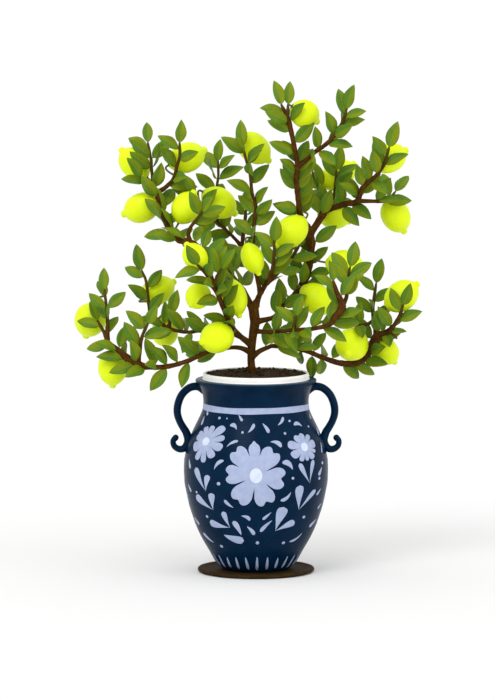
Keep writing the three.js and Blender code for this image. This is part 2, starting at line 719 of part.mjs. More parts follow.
const lemons = LEMONS.map(lemonPlace);
const lemonSolids = lemons.map((lemon) => {
  const turn = new THREE.Quaternion().setFromUnitVectors(UP, lemon.pointing);
  const place = new THREE.Matrix4().compose(lemon.centre, turn, new THREE.Vector3(1, 1, 1));
  return solidOf(lemonGeometry(lemon).applyMatrix4(place));
});
for (const lemon of lemons) {
  const node = STEMS[lemon.stem].node;
  wood[node] = wood[node].add(stalkSolid(lemon));
}

// Leaves go on one at a time, each at the first turn that clears everything already there.
const near = (a, b) => [0, 1, 2].every((k) => a.min[k] <= b.max[k] && b.min[k] <= a.max[k]);
const piece = (solid, node = '') => ({ solid, node, box: solid.boundingBox() });
const standing = [
  ...Object.entries(wood).map(([node, solid]) => piece(solid, node)),
  ...lemonSolids.map((solid) => piece(solid)),
];
const meet = (a, b) => near(a.box, b.box) && !a.solid.intersect(b.solid).isEmpty();
const blades = Object.fromEntries(nodes.map((node) => [node, []]));
let slot = 0;
for (const [name, { node, bare, forksAtEnd }] of Object.entries(STEMS)) {
  const count = bare === Infinity ? 0 : 1 + Math.floor((limbs[name].length - bare) / LEAF_STEP);
  for (let k = forksAtEnd ? 1 : 0; k < count; k += 1) {
    slot += 1;
    for (let turn = 0; turn < LEAF_TURNS.length; turn += 1) {
      const leaf = leafPlace(name, k, slot, turn);
      const whole = piece(bladeSolid(leaf, 0, LEAF_CLEARANCE));
      const pastRoot = piece(bladeSolid(leaf, ROOT_SHARE, LEAF_CLEARANCE));
      if (standing.some((other) => meet(other.node === node ? pastRoot : whole, other))) continue;
      const blade = bladeSolid(leaf);
      blades[node].push(blade);
      standing.push(piece(blade, node));
      break;
    }
  }
}

addMesh('saucer', saucerGeometry(), 'saucer');
const vase = vaseSolid();
addMesh('vase', geometryOf(vase), 'vase');

const soilRadius = VASE_LIP.at(-1)[0] - SEAT_GAP;
const mound = [1, 0.7, 0.35, 0].map((share) => [
  soilRadius * share,
  SOIL_EDGE_HEIGHT + (SOIL_CROWN_HEIGHT - SOIL_EDGE_HEIGHT) * (1 - share * share),
]);
const soil = solidOf(turned([
  [0, VASE_FLOOR_HEIGHT + SEAT_GAP],
  [VASE_FLOOR_RADIUS - 1, VASE_FLOOR_HEIGHT + SEAT_GAP],
  ...vaseInside(SEAT_GAP + 0.1),
  ...mound,
], VASE_SIDES)).subtract(limbs.trunk.solid(TRUNK_SIDES, SEAT_GAP));
addMesh('soil', geometryOf(soil), 'soil');

for (const node of nodes) {
  const joined = wasm.Manifold.union([wood[node], ...blades[node]]);
  const shape = mainBody(joined.asOriginal().simplify(FINEST_EDGE));
  addMesh(node, geometryOf(shape), blades[node].length ? 'leaf' : 'wood');
}

lemons.forEach((lemon, i) => {
  const mesh = addMesh(`lemon_${String(i + 1).padStart(2, '0')}`, lemonGeometry(lemon), 'lemon');
  mesh.position.copy(lemon.centre);
  mesh.quaternion.setFromUnitVectors(UP, lemon.pointing);
});

export default tree;
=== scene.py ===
# A lemon tree in fruit, growing in a painted and glazed two-handled vase on a dark round saucer.
# Metres, +Z up, +X to the right and +Y to the back. Sizes in millimetres are multiplied by MM.

import json
import math

import bpy
from mathutils import Matrix, Vector, noise
from mathutils.bvhtree import BVHTree
from mathutils.geometry import interpolate_bezier
from mathutils.kdtree import KDTree

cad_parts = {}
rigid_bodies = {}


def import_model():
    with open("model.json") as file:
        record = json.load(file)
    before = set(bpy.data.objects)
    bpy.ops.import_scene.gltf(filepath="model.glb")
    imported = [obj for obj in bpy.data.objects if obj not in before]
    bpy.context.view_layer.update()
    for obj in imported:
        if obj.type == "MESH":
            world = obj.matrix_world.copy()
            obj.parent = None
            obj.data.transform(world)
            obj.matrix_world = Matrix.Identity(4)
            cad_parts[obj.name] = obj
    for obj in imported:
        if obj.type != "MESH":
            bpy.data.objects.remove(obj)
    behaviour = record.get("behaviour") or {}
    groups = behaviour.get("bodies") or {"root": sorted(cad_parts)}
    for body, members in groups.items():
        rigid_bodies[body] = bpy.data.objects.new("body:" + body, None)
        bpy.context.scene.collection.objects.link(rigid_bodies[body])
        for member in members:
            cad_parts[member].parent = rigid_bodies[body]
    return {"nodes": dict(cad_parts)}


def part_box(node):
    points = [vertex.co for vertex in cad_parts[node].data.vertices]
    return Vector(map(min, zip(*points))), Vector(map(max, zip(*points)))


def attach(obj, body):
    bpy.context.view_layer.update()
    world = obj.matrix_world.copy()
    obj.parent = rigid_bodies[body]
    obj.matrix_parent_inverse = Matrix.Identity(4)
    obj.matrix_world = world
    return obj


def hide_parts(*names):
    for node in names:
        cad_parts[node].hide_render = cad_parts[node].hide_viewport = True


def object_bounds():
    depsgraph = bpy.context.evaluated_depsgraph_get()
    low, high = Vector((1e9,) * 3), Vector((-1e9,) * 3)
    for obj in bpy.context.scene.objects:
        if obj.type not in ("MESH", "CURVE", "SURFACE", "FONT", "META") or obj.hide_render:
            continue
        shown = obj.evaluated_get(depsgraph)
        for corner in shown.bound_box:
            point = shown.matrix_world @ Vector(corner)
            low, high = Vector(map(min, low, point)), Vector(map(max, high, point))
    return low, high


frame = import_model()
cad_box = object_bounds()
MM = 0.001

# ---------------------------------------------------------------- view, floor and light
# The view looks six degrees down on the plant through a long lens, so that near and far leaves
# keep one scale. The white floor is wide enough to fill the picture to its top edge.

VIEW_TILT = math.radians(6)
VIEW_MIDDLE = Vector((-17 * MM, 0, 446.5 * MM))
VIEW_HEIGHT = 1.4  # what the picture shows from its foot to its top, in metres
LENS = 300  # the lens and the width of its sensor, in millimetres
SENSOR = 36
SIGHT = 400  # how far it sees, in metres
FLOOR_SIZE = 240
FLOOR_COLOUR = (0.852, 0.852, 0.852, 1)
SKY_STRENGTH = 0.93
SUN_DISTANCE = 3

view_back = Vector((0, -math.cos(VIEW_TILT), math.sin(VIEW_TILT)))
view_distance = VIEW_HEIGHT / 2 / (SENSOR / 2 / LENS)
bpy.ops.object.camera_add(
    location=VIEW_MIDDLE + view_back * view_distance,
    rotation=(math.pi / 2 - VIEW_TILT, 0, 0),
)
camera = bpy.context.object
camera.name = "camera"
camera.data.lens = LENS
camera.data.sensor_width = SENSOR
camera.data.clip_end = SIGHT
bpy.context.scene.camera = camera


def new_finish(name, **shine):
    """A material whose shader has these fixed values: (material, its tree, its shader)."""
    material = bpy.data.materials.new(name)
    material.use_nodes = True
    shader = material.node_tree.nodes["Principled BSDF"]
    for socket, value in shine.items():
        shader.inputs[socket.replace("_", " ")].default_value = value
    return material, material.node_tree, shader


floor_paint, _, _ = new_finish(
    "floor_paint", Base_Color=FLOOR_COLOUR, Roughness=0.9, Specular_IOR_Level=0
)
bpy.ops.mesh.primitive_plane_add(size=FLOOR_SIZE, location=(0, 0, -0.2 * MM))
floor = bpy.context.object
floor.name = "floor"
floor.data.materials.append(floor_paint)

SUNS = {  # name: (strength, softness in degrees, where it shines from)
    "key": (0.95, 30, (-0.55, -1.0, 1.15)),
    "fill": (0.45, 60, (0.9, -0.8, 0.55)),
}
for name, (strength, softness, come_from) in SUNS.items():
    bpy.ops.object.light_add(type="SUN", location=Vector(come_from) * SUN_DISTANCE)
    sun = bpy.context.object
    sun.name = name
    sun.data.energy = strength
    sun.data.angle = math.radians(softness)
    sun.rotation_euler = Vector(come_from).to_track_quat("Z", "Y").to_euler()

world = bpy.data.worlds.new("studio")
bpy.context.scene.world = world
world.use_nodes = True
sky = world.node_tree.nodes["Background"].inputs
sky["Color"].default_value = (1, 1, 1, 1)
sky["Strength"].default_value = SKY_STRENGTH
bpy.context.scene.view_settings.view_transform = "Standard"

# ---------------------------------------------------------------- saucer
# The saucer is a shallow round of wood with a dark stain, turned on a lathe. It has a raised
# rim, softly broken edges and a flat well, where the vase's foot stands.


def turned(name, profile, steps=96):
    """A form turned about the middle of the part, from (radius, height) pairs in millimetres."""
    bpy.ops.object.select_all(action="DESELECT")
    radius, height = profile[0]
    bpy.ops.mesh.primitive_plane_add(size=MM, location=(radius * MM, 0, height * MM))
    piece = bpy.context.object
    piece.name = piece.data.name = name
    bpy.ops.object.mode_set(mode="EDIT")
    bpy.ops.mesh.merge(type="CENTER")
    for (radius, height), (next_radius, next_height) in zip(profile, profile[1:]):
        step = ((next_radius - radius) * MM, 0, (next_height - height) * MM)
        bpy.ops.mesh.extrude_region_move(TRANSFORM_OT_translate={"value": step})
    bpy.ops.mesh.select_all(action="SELECT")
    bpy.ops.mesh.spin(steps=steps, angle=math.tau, center=(0, 0, 0), axis=(0, 0, 1))
    bpy.ops.mesh.select_all(action="SELECT")
    bpy.ops.mesh.remove_doubles(threshold=0.005 * MM)
    bpy.ops.mesh.normals_make_consistent(inside=False)
    bpy.ops.object.mode_set(mode="OBJECT")
    bpy.ops.object.transform_apply(location=True, rotation=True, scale=True)
    bpy.ops.object.shade_smooth_by_angle(angle=math.radians(40))
    return piece


def belongs(piece, finishes, slot, *nodes):
    """The piece has those finishes, is fixed to the part, and stands for those plain solids."""
    for finish in finishes:
        piece.data.materials.append(finish)
    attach(piece, "root")
    if nodes:
        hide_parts(*nodes)


def srgb(red, green, blue):
    """A colour given from 0 to 255 in each channel, as a linear one."""
    shares = [channel / 255 for channel in (red, green, blue)]
    linear = [s / 12.92 if s <= 0.04045 else ((s + 0.055) / 1.055) ** 2.4 for s in shares]
    return (*linear, 1)


def add_node(tree, kind, feeds=(), **settings):
    """A shader node. feeds pairs each input with a value, or with the socket that feeds it."""
    node = tree.nodes.new("ShaderNode" + kind)
    for setting, value in settings.items():
        setattr(node, setting, value)
    for socket, value in dict(feeds).items():
        if isinstance(value, bpy.types.NodeSocket):
            tree.links.new(value, node.inputs[socket])
        else:
            node.inputs[socket].default_value = value
    return node


def mixed(tree, share, low, high):
    """The colour between low and high at a share from 0 to 1."""
    return add_node(tree, "Mix", {0: share, 6: low, 7: high}, data_type="RGBA").outputs[2]


def ramped(tree, value, start, end, low=0.0, high=1.0):
    """A value mapped from start..end to low..high, with soft ends."""
    feeds = {0: value, 1: start, 2: end, 3: low, 4: high}
    return add_node(tree, "MapRange", feeds, interpolation_type="SMOOTHSTEP").outputs[0]


def raise_surface(tree, shader, height, distance, strength=1.0):
    """Feeds the shader's normal from a height, in metres when it is 1."""
    bump = add_node(tree, "Bump", {"Height": height, "Distance": distance, "Strength": strength})
    tree.links.new(bump.outputs["Normal"], shader.inputs["Normal"])


saucer_low, saucer_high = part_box("saucer")
SAUCER_RADIUS = (saucer_high.x - saucer_low.x) / 2 / MM
SAUCER_HEIGHT = saucer_high.z / MM
WELL_FLOOR = 6
SAUCER_RIM = [  # (how far in from the edge, height) in millimetres, from below, over the rim
    (7, 0), (5.6, 0.3), (1, 2.8), (0, 4.2), (0.4, SAUCER_HEIGHT - 2), (2, SAUCER_HEIGHT - 0.4),
    (4, SAUCER_HEIGHT), (8, SAUCER_HEIGHT - 0.2), (10, SAUCER_HEIGHT - 1), (15, WELL_FLOOR + 0.5),
    (18, WELL_FLOOR),
]
saucer = turned("saucer_turned", [
    (0, 0), *((SAUCER_RADIUS - inwards, height) for inwards, height in SAUCER_RIM),
    (60, WELL_FLOOR), (0, WELL_FLOOR),
])
stained_wood, tree, shader = new_finish(
    "dark_stained_wood", Roughness=0.65, Specular_IOR_Level=0.04
)
place = add_node(tree, "TexCoord").outputs["Object"]
lengthwise = add_node(tree, "Mapping", {"Vector": place, "Scale": (9, 120, 120)})
fibres = add_node(tree, "TexNoise", {"Vector": lengthwise.outputs[0], "Scale": 1.6, "Detail": 6.0})
soaked = ramped(tree, fibres.outputs[0], 0.32, 0.68)
stain = mixed(tree, soaked, srgb(41, 29, 11), srgb(60, 44, 20))
tree.links.new(stain, shader.inputs["Base Color"])
raise_surface(tree, shader, fibres.outputs[0], 0.25 * MM, 0.7)
belongs(saucer, [stained_wood], "saucer", "saucer")

# ---------------------------------------------------------------- vase
# The vase is thrown stoneware, dipped in a deep navy glaze, with a pale glaze poured inside. Two
# strap handles, pulled by hand, spring from under the lip and end in scrolls at the shoulder.

VASE_OUTSIDE = [  # (radius, height) in millimetres, from the foot up to the lip
    (66, 6.3), (80, 20), (95, 45), (110.5, 72), (123, 101), (135, 140), (143.4, 183), (144, 222),
    (137.5, 257), (126, 286), (109, 322), (105.4, 342), (109, 364), (121, 384),
]
VASE_LIP = [  # the flange's rounded edge and flat top, and the collar that stands up inside it
    (121.5, 385.6), (121.1, 387), (120.2, 388), (118.6, 388.5), (115, 388.7), (110, 388.9),
    (107.8, 389.2), (106.7, 390.2), (106.3, 392), (106.1, 396), (106, 398.8), (105.5, 400.2),
    (104.4, 401), (103, 401.2), (101.8, 400.7), (101.1, 399.6), (100.8, 397.6),
]
NAVY_TOP = 389.6  # the dipped glaze stops here, where the collar starts
THIN_GLAZE = (385, 388.4)  # along the edge of the lip it runs thin, and breaks a little lighter
VASE_WALL = 8
VASE_FLOOR = 22


def between(before, start, end, after, t):
    """A point of a smooth line through four others: at start when t is 0, and at end at 1."""
    leaving, arriving = (end - before) / 2, (after - start) / 2
    return (
        start * (2 * t**3 - 3 * t**2 + 1) + leaving * (t**3 - 2 * t**2 + t)
        + end * (3 * t**2 - 2 * t**3) + arriving * (t**3 - t**2)
    )


def smooth_line(points, steps=6):
    """Points along a smooth line through the given ones, with steps to each stretch."""
    given = [Vector(point) for point in points]
    first, last = given[0] * 2 - given[1], given[-1] * 2 - given[-2]
    around = [first, *given, last]
    line = [
        between(*around[i - 1 : i + 3], step / steps)
        for i in range(1, len(around) - 2) for step in range(steps)
    ]
    return [*line, given[-1]]


def vase_inside():
    """The inner wall, one wall thickness in from each step of the outside."""
    wall = []
    for below, here, above in zip(VASE_OUTSIDE[1:], VASE_OUTSIDE[2:], VASE_OUTSIDE[3:]):
        climb = (Vector(above) - Vector(below)).normalized()
        wall.append(Vector(here) + Vector((-climb.y, climb.x)) * VASE_WALL)
    return wall


outside_line = smooth_line(VASE_OUTSIDE)
inside_line = smooth_line([(58, VASE_FLOOR), *vase_inside(), VASE_LIP[-1]])
vase = turned("vase_body", [
    (0, 9.3), (51, 9.3), (52.4, 8.6), (54.8, 6.6), (56, 6.3), *outside_line,
    *VASE_LIP, *reversed(inside_line[:-1]), (0, VASE_FLOOR),
], steps=120)

HANDLE_ROUTE = [  # (radius, height, half thickness), from the neck round to the scroll's tip
    (101, 364.5, 9.4), (116, 373, 8.2), (133, 370.5, 7.9), (148, 357, 7.8), (156, 338, 7.8),
    (157.5, 320, 7.6), (153, 304, 7.4), (146, 291, 7.6), (139.5, 280, 8), (135.5, 263, 8.6),
    (143, 249.5, 7.6), (154, 247, 6.8), (163.5, 253, 6.1), (166, 263, 5.8), (161, 270, 6.4),
]
HANDLE_WIDENING = 1.4  # a strap is wider, to the front and back, than it is thick
HANDLE_SIDES = 20
TO_BACK = Vector((0, 1, 0))


def new_grid(columns, rows):
    """A flat grid, 1 metre square, to be bent into shape."""
    bpy.ops.object.select_all(action="DESELECT")
    bpy.ops.mesh.primitive_grid_add(x_subdivisions=columns, y_subdivisions=rows, size=1)
    return bpy.context.object


def rolled_tube(stations, sides, reference, widening=1.0):
    """A grid rolled round (centre, half thickness) stations and drawn shut at both ends.

    Its attribute run holds each point as if the tube were straight, for patterns along it.
    """
    rows = len(stations) + 1
    tube = new_grid(sides, rows)
    centres = [centre for centre, _ in stations]
    rings, distance = [], 0
    for i, (centre, radius) in enumerate(stations):
        along = (centres[min(i + 1, len(centres) - 1)] - centres[max(i - 1, 0)]).normalized()
        side = along.cross(reference).normalized()
        wide = along.cross(side) * widening
        distance += (centre - centres[max(i - 1, 0)]).length
        rings.append((centre, side * radius, wide * radius, radius, distance))
    run = tube.data.attributes.new("run", "FLOAT_VECTOR", "POINT")
    for vertex in tube.data.vertices:
        row = round((vertex.co.y + 0.5) * rows)
        centre, side, wide, radius, distance = rings[min(max(row - 1, 0), len(rings) - 1)]
        cos, sin = math.cos(vertex.co.x * math.tau), math.sin(vertex.co.x * math.tau)
        closed = row in (0, rows)
        vertex.co = centre if closed else centre + side * cos + wide * sin
        run.data[vertex.index].vector = (radius * cos, radius * sin, distance)
    return tube


def joined(name, pieces, seam=0.02 * MM, closed=True):
    """The pieces as one, with their seams and ends merged.

    Closed pieces also have their faces turned outwards and their edges softened.
    """
    bpy.ops.object.select_all(action="DESELECT")
    for piece in pieces:
        piece.select_set(True)
    bpy.context.view_layer.objects.active = pieces[0]
    bpy.ops.object.join()
    whole = bpy.context.object
    whole.name = whole.data.name = name
    bpy.ops.object.transform_apply(location=True, rotation=True, scale=True)
    bpy.ops.object.mode_set(mode="EDIT")
    bpy.ops.mesh.select_all(action="SELECT")
    bpy.ops.mesh.remove_doubles(threshold=seam)
    if closed:
        bpy.ops.mesh.normals_make_consistent(inside=False)
    bpy.ops.object.mode_set(mode="OBJECT")
    if closed:
        bpy.ops.object.shade_smooth_by_angle(angle=math.radians(50))
    return whole


def rounded_end(last, on, turns):
    """Stations that carry a tube on from its last one and round its tip."""
    tip, radius = last
    return [(tip + on * radius * math.sin(turn), radius * math.cos(turn)) for turn in turns]


def handle(side):
    """A handle on the left, where side is -1, or on the right, where it is 1."""
    line = smooth_line(HANDLE_ROUTE)
    stations = [(Vector((side * r, 0, z)) * MM, half * MM) for r, z, half in line]
    on = (stations[-1][0] - stations[-2][0]).normalized()
    stations += rounded_end(stations[-1], on, (0.4, 0.8, 1.15, 1.4))
    return rolled_tube(stations, HANDLE_SIDES, TO_BACK, HANDLE_WIDENING)


handles = joined("vase_handles", [handle(-1), handle(1)])


def new_group(name, inputs, outputs):
    """A node group with float or colour sockets: (group, its inputs, its outputs)."""
    group = bpy.data.node_groups.new(name, "ShaderNodeTree")
    for socket, value in inputs.items():
        kind = "NodeSocketColor" if isinstance(value, tuple) else "NodeSocketFloat"
        group.interface.new_socket(socket, in_out="INPUT", socket_type=kind).default_value = value
    for socket, kind in outputs.items():
        group.interface.new_socket(socket, in_out="OUTPUT", socket_type="NodeSocket" + kind)
    entry = group.nodes.new("NodeGroupInput").outputs
    leave = group.nodes.new("NodeGroupOutput").inputs
    return group, entry, leave


def use_group(tree, group, **values):
    """A group placed in a material, with its own values."""
    node = tree.nodes.new("ShaderNodeGroup")
    node.node_tree = group
    for name, value in values.items():
        node.inputs[name].default_value = value
    return node.outputs


# Patches: two colours in cloudy patches, as in glaze, bark or rind.
patches, patches_in, patches_out = new_group(
    "patches",
    {"Scale": 40.0, "Contrast": 0.2, "Dark": (0, 0, 0, 1), "Light": (1, 1, 1, 1)},
    {"Color": "Color"},
)
place = add_node(patches, "TexCoord").outputs["Object"]
cloud = add_node(patches, "TexNoise", {
    "Vector": place, "Scale": patches_in["Scale"], "Detail": 4.0, "Roughness": 0.6,
})
low_end = add_node(patches, "Math", {0: 0.5, 1: patches_in["Contrast"]}, operation="SUBTRACT")
high_end = add_node(patches, "Math", {0: 0.5, 1: patches_in["Contrast"]}, operation="ADD")
share = ramped(patches, cloud.outputs[0], low_end.outputs[0], high_end.outputs[0])
patch_colour = mixed(patches, share, patches_in["Dark"], patches_in["Light"])
patches.links.new(patch_colour, patches_out["Color"])

navy_glaze, tree, shader = new_finish("navy_glaze", Roughness=0.3, Specular_IOR_Level=0.05)
dipped = use_group(
    tree, patches, Scale=26.0, Contrast=0.22, Dark=srgb(0, 27, 51), Light=srgb(3, 35, 62)
)
place = add_node(tree, "TexCoord").outputs["Object"]
height = add_node(tree, "SeparateXYZ", {0: place}).outputs["Z"]
at_lip = ramped(tree, height, *(edge * MM for edge in THIN_GLAZE), 0.0, 0.4)
glaze_colour = mixed(tree, at_lip, dipped["Color"], srgb(44, 70, 96))
tree.links.new(glaze_colour, shader.inputs["Base Color"])
rings = add_node(
    tree, "TexWave", {"Vector": place, "Scale": 46.0, "Distortion": 1.6, "Detail": 2.0},
    bands_direction="Z",
)
raise_surface(tree, shader, rings.outputs["Fac"], 0.16 * MM, 0.6)


def patchy_finish(name, scale, contrast, dark, light, **shine):
    """A finish in cloudy patches of two colours, each given from 0 to 255 in each channel."""
    material, tree, shader = new_finish(name, **shine)
    colours = {"Dark": srgb(*dark), "Light": srgb(*light)}
    cloudy = use_group(tree, patches, Scale=scale, Contrast=contrast, **colours)
    tree.links.new(cloudy["Color"], shader.inputs["Base Color"])
    return material, tree, shader


pale_glaze, _, _ = patchy_finish(
    "pale_glaze", 30.0, 0.25, (240, 241, 238), (252, 252, 250),
    Roughness=0.3, Specular_IOR_Level=0.3,
)

belongs(vase, [navy_glaze, pale_glaze], "vase", "vase")
belongs(handles, [navy_glaze], "vase", "vase")
for face in vase.data.polygons:
    outward = Vector((face.center.x, face.center.y, 0)).normalized()
    inside = face.center.z > (VASE_FLOOR - 1) * MM and face.normal.dot(outward) < -0.15
    on_floor = abs(face.center.z - VASE_FLOOR * MM) < 0.1 * MM and face.normal.z > 0.9
    face.material_index = int(inside or on_floor or face.center.z > NAVY_TOP * MM)

# ---------------------------------------------------------------- painting
# The painting is lavender slip, brushed on by hand: a band round the neck, daisies with sprigs
# and comma strokes between them on the front and the back, and a row of short strokes round the
# foot. Each stroke stands a little proud of the glaze and ends in a soft edge.

SLIP_EDGE = 0.25 * MM  # how far a stroke's edge stands out from the wall
SLIP_CROWN = 0.45 * MM  # how much thicker it is along its middle
SLIP_BACKING = 0.9 * MM  # how far its back reaches into the wall
PLACING_ROUNDS = 8  # of guessing where on the wall a spot of the front view lies


def line_radius(line, height):
    """The radius of a (radius, height) line at a height, in millimetres."""
    for low, high in zip(line, line[1:]):
        if height <= high.y:
            return low.x + (high.x - low.x) * (height - low.y) / (high.y - low.y)
    return line[-1].x


def vase_radius(height):
    """The vase's outer radius at a height, both in metres."""
    return line_radius(outside_line, height / MM) * MM


def found_on_vase(across, up):
    """(angle from the front, height) of the spot seen from the front that far across and up."""
    angle, height = 0.0, up
    level_up = VIEW_MIDDLE.z * math.cos(VIEW_TILT)
    for _ in range(PLACING_ROUNDS):
        radius = vase_radius(height)
        shrunk = 1 - radius * math.cos(angle) / view_distance
        true_across = VIEW_MIDDLE.x + (across - VIEW_MIDDLE.x) * shrunk
        true_up = level_up + (up - level_up) * shrunk
        angle = math.asin(true_across / radius)
        sunk = radius * math.cos(angle) * math.sin(VIEW_TILT)
        height = (true_up + sunk) / math.cos(VIEW_TILT)
    return angle, height


def brushed(shape, angle, height, along=12, over=4, stretch=1.0):
    """A grid laid on the vase. shape gives (across, up, fullness) in metres at t and v."""
    daub = new_grid(along, over)
    for vertex in daub.data.vertices:
        across, up, fullness = shape(vertex.co.x + 0.5, vertex.co.y * 2)
        level = height + up
        radius = vase_radius(level)
        turn = angle + across * stretch / radius
        radius += SLIP_EDGE + SLIP_CROWN * fullness
        vertex.co = (radius * math.sin(turn), -radius * math.cos(turn), level)
    return daub


def stroke(length, width, degrees=0.0, bend=0.0, taper=0.75, start=-0.5):
    """A brush stroke that starts in a thin end and ends in a round one.

    taper is how slowly it widens, and start is where it begins, in lengths.
    """
    cos, sin = math.cos(math.radians(degrees)), math.sin(math.radians(degrees))
    fullest = max((n / 40) ** taper * (1 - (n / 40) ** 5) ** 0.5 for n in range(40))

    def shape(t, v):
        swell = t**taper * max(1 - t**5, 0) ** 0.5 / fullest
        x = (start + t) * length * MM
        y = (v * width / 2 * swell + bend * length * (4 * t * (1 - t) - 0.5)) * MM
        return x * cos - y * sin, x * sin + y * cos, (1 - v * v) * swell

    return shape


def sprig_leaf(degrees, length, width):
    """A long leaf that starts in a point where its sprig is rooted."""
    return stroke(length, width, degrees, 0.03, taper=1.3, start=0)


def dot(width, height=None, lift=0.0):
    """An oval dab. lift is how much higher it stands than a stroke, in stroke thicknesses."""
    return lambda t, v: (
        width / 2 * MM * (v + 1) / 2 * math.cos(-math.tau * t),
        (height or width) / 2 * MM * (v + 1) / 2 * math.sin(-math.tau * t),
        1 + lift - ((v + 1) / 2) ** 2,
    )


def daisy(first, petals):
    """A flower head of broad petals with a slit between each two, and some with notched ends.

    first is where it starts, in degrees. Each petal is (where it ends, how near to the middle
    the slit after it reaches, its length, the depth of the notch in its end).
    """
    starts = [first, *(petal[0] for petal in petals[:-1])]

    def shape(t, v):
        petal, along = divmod((1 - t) * len(petals), 1)
        if petal == len(petals):
            petal, along = len(petals) - 1, 1
        end, slit, length, notch = petals[int(petal)]
        slit_before = petals[int(petal) - 1][1]
        angle = math.radians(starts[int(petal)] + (end - starts[int(petal)]) * along)
        at_slit = slit_before + (slit - slit_before) * along
        from_middle = abs(along * 2 - 1)
        edge = at_slit + (length - at_slit) * max(1 - from_middle**3, 0) ** 0.5
        edge -= notch * math.exp(-((from_middle / 0.22) ** 2))
        reach = edge * (v + 1) / 2 * MM
        return reach * math.cos(angle), reach * math.sin(angle), (1 - ((v + 1) / 2) ** 6) * 0.8

    return shape


# Places are as the front is seen: millimetres across from the middle, and up the view.
DAISIES = [  # (across, up, the centre's width and height, where the petals start, the petals)
    (0, 192, 25, 30, 79, (
        (108, 39, 62.5, -5), (154, 38, 68, 7), (205, 22, 64, 9), (263, 26, 68, 7), (320, 26, 65, 9),
        (384, 22, 62, 11), (439, 39, 64, 8),
    )),
    (-100, 261, 15, 16, 67, (
        (97, 18, 31, 0), (128, 16, 30, 2), (185, 18, 29, 2), (236, 16, 33, 0), (262, 19, 40, 0),
        (286, 14, 41, 0), (323, 15, 36, 0), (363, 16, 35, 0), (393, 14, 34, 0), (427, 15, 40, 0),
    )),
    (97, 250, 14, 17, 36, (
        (68, 13, 27, 0), (141, 11, 27, 4), (190, 13, 30, 0), (234, 14, 31, 0), (262, 15, 29, 0),
        (285, 15, 27, 0), (322, 14, 29, 0), (345, 15, 26, 0), (396, 11, 27, 0),
    )),
]
SPRIGS = [  # (across, up, then each of two leaves' direction in degrees, length and width)
    (-101, 161, (116, 50, 12.5), (80, 34, 11)),
    (-86, 123, (145, 44, 15), (88, 35, 12.5)),
    (-52, 87, (170, 45, 14.5), (107, 35, 11)),
    (38, 81, (75, 51, 22), (23, 44, 14)),
    (85, 123, (94, 51, 16), (49, 51, 9.5)),
    (107, 177, (115, 46, 9), (78, 47, 8.5)),
]
STROKES = [  # (across, up, length, width, direction in degrees, bend as a share of the length)
    (-31, 308, 15, 5, -53, 0), (-44, 291, 17, 8, 148, -0.2), (-9, 287, 21, 6.5, 54, -0.08),
    (20, 288, 22, 7, -57, 0.05), (50, 301, 21, 5.5, 47, -0.1), (84, 295, 17, 7.5, 160, -0.22),
    (108, 312, 12, 5, 245, 0), (123, 283, 19, 6, 251, 0), (-48, 257, 25, 5.5, 31, 0.1),
    (41, 257, 24, 9, -24, 0.16), (-76, 215, 27, 7, 49, 0.13), (65, 214, 26, 11, 138, -0.17),
    (61, 149, 26, 7.5, 222, 0.14), (-55, 135, 23, 6.5, 139, 0.06), (-20, 108, 20, 7.5, -24, 0.13),
    (22, 111, 23, 5.5, 222, 0), (20, 91, 33, 7.5, 226, -0.04), (-10, 82, 23, 8, -50, 0.06),
    (-45, 66, 40, 16, -15, -0.05), (-37, 87, 32, 11, 114, -0.04), (-97, 320, 14, 5, -68, 0),
    (-119, 102, 20, 7, -46, 0), (114, 97, 22, 7.5, 217, 0), (-96, 67, 27, 7, 139, 0.06),
    (81, 67, 27, 5, 218, 0.12), (-133, 216, 20, 6.5, -67, 0), (-133, 168, 18, 6, -62, 0),
    (129, 201, 19, 7, 235, 0), (126, 160, 17, 5, 228, 0), (127, 131, 14, 5.5, 223, 0),
    (131, 249, 22, 4.5, 254, 0), (-106, 303, 18, 6, -80, 0),
]
DOTS = [  # (across, up, size)
    (-73, 308, 5), (-58, 307, 3.2), (-27, 279, 4.8), (67, 302, 4.5), (58, 277, 5), (105, 291, 4),
    (133, 218, 6), (127, 187, 6.2), (74, 187, 5.4), (-75, 176, 7), (-119, 159, 5), (-98, 110, 5.4),
    (96, 109, 6), (3, 57, 7), (55, 57, 6), (-69, 50, 6),
]
LARGEST_STRETCH = 1.35  # shapes far round the side are painted wider, so they read from the front


def placed(across, up, shape, turned_by, **grid):
    """The shape, brushed where it is seen that far across and up the side turned by so much."""
    angle, height = found_on_vase(across * MM, up * MM)
    stretch = min(1 / math.cos(angle), LARGEST_STRETCH)
    return brushed(shape, angle + turned_by, height, stretch=stretch, **grid)


lavender, centres = [], []
for turned_by in (0, math.pi):
    for across, up, width, height, first, petals in DAISIES:
        flower = daisy(first, petals)
        lavender.append(placed(across, up, flower, turned_by, along=len(petals) * 20, over=6))
        eye = dot(width, height, lift=1.6)
        centres.append(placed(across, up, eye, turned_by, along=28, over=4))
    for across, up, *leaves in SPRIGS:
        for leaf in leaves:
            lavender.append(placed(across, up, sprig_leaf(*leaf), turned_by, along=16))
    for across, up, length, width, degrees, bend in STROKES:
        shape = stroke(length, width, degrees, bend)
        lavender.append(placed(across, up, shape, turned_by))
    for across, up, size in DOTS:
        lavender.append(placed(across, up, dot(size), turned_by, along=14, over=3))

# Below each handle, where front and back meet, a sprig fills the side.
for side in (-1, 1):
    for height, *leaf in (
        (118, 62, 48, 13), (118, 112, 42, 12), (170, 55, 34, 9), (170, 118, 40, 10),
    ):
        shape = sprig_leaf(*leaf)
        lavender.append(brushed(shape, side * math.pi / 2, height * MM, along=16))
    for height in (98, 150, 226):
        lavender.append(brushed(dot(6), side * math.pi / 2, height * MM, along=14, over=3))

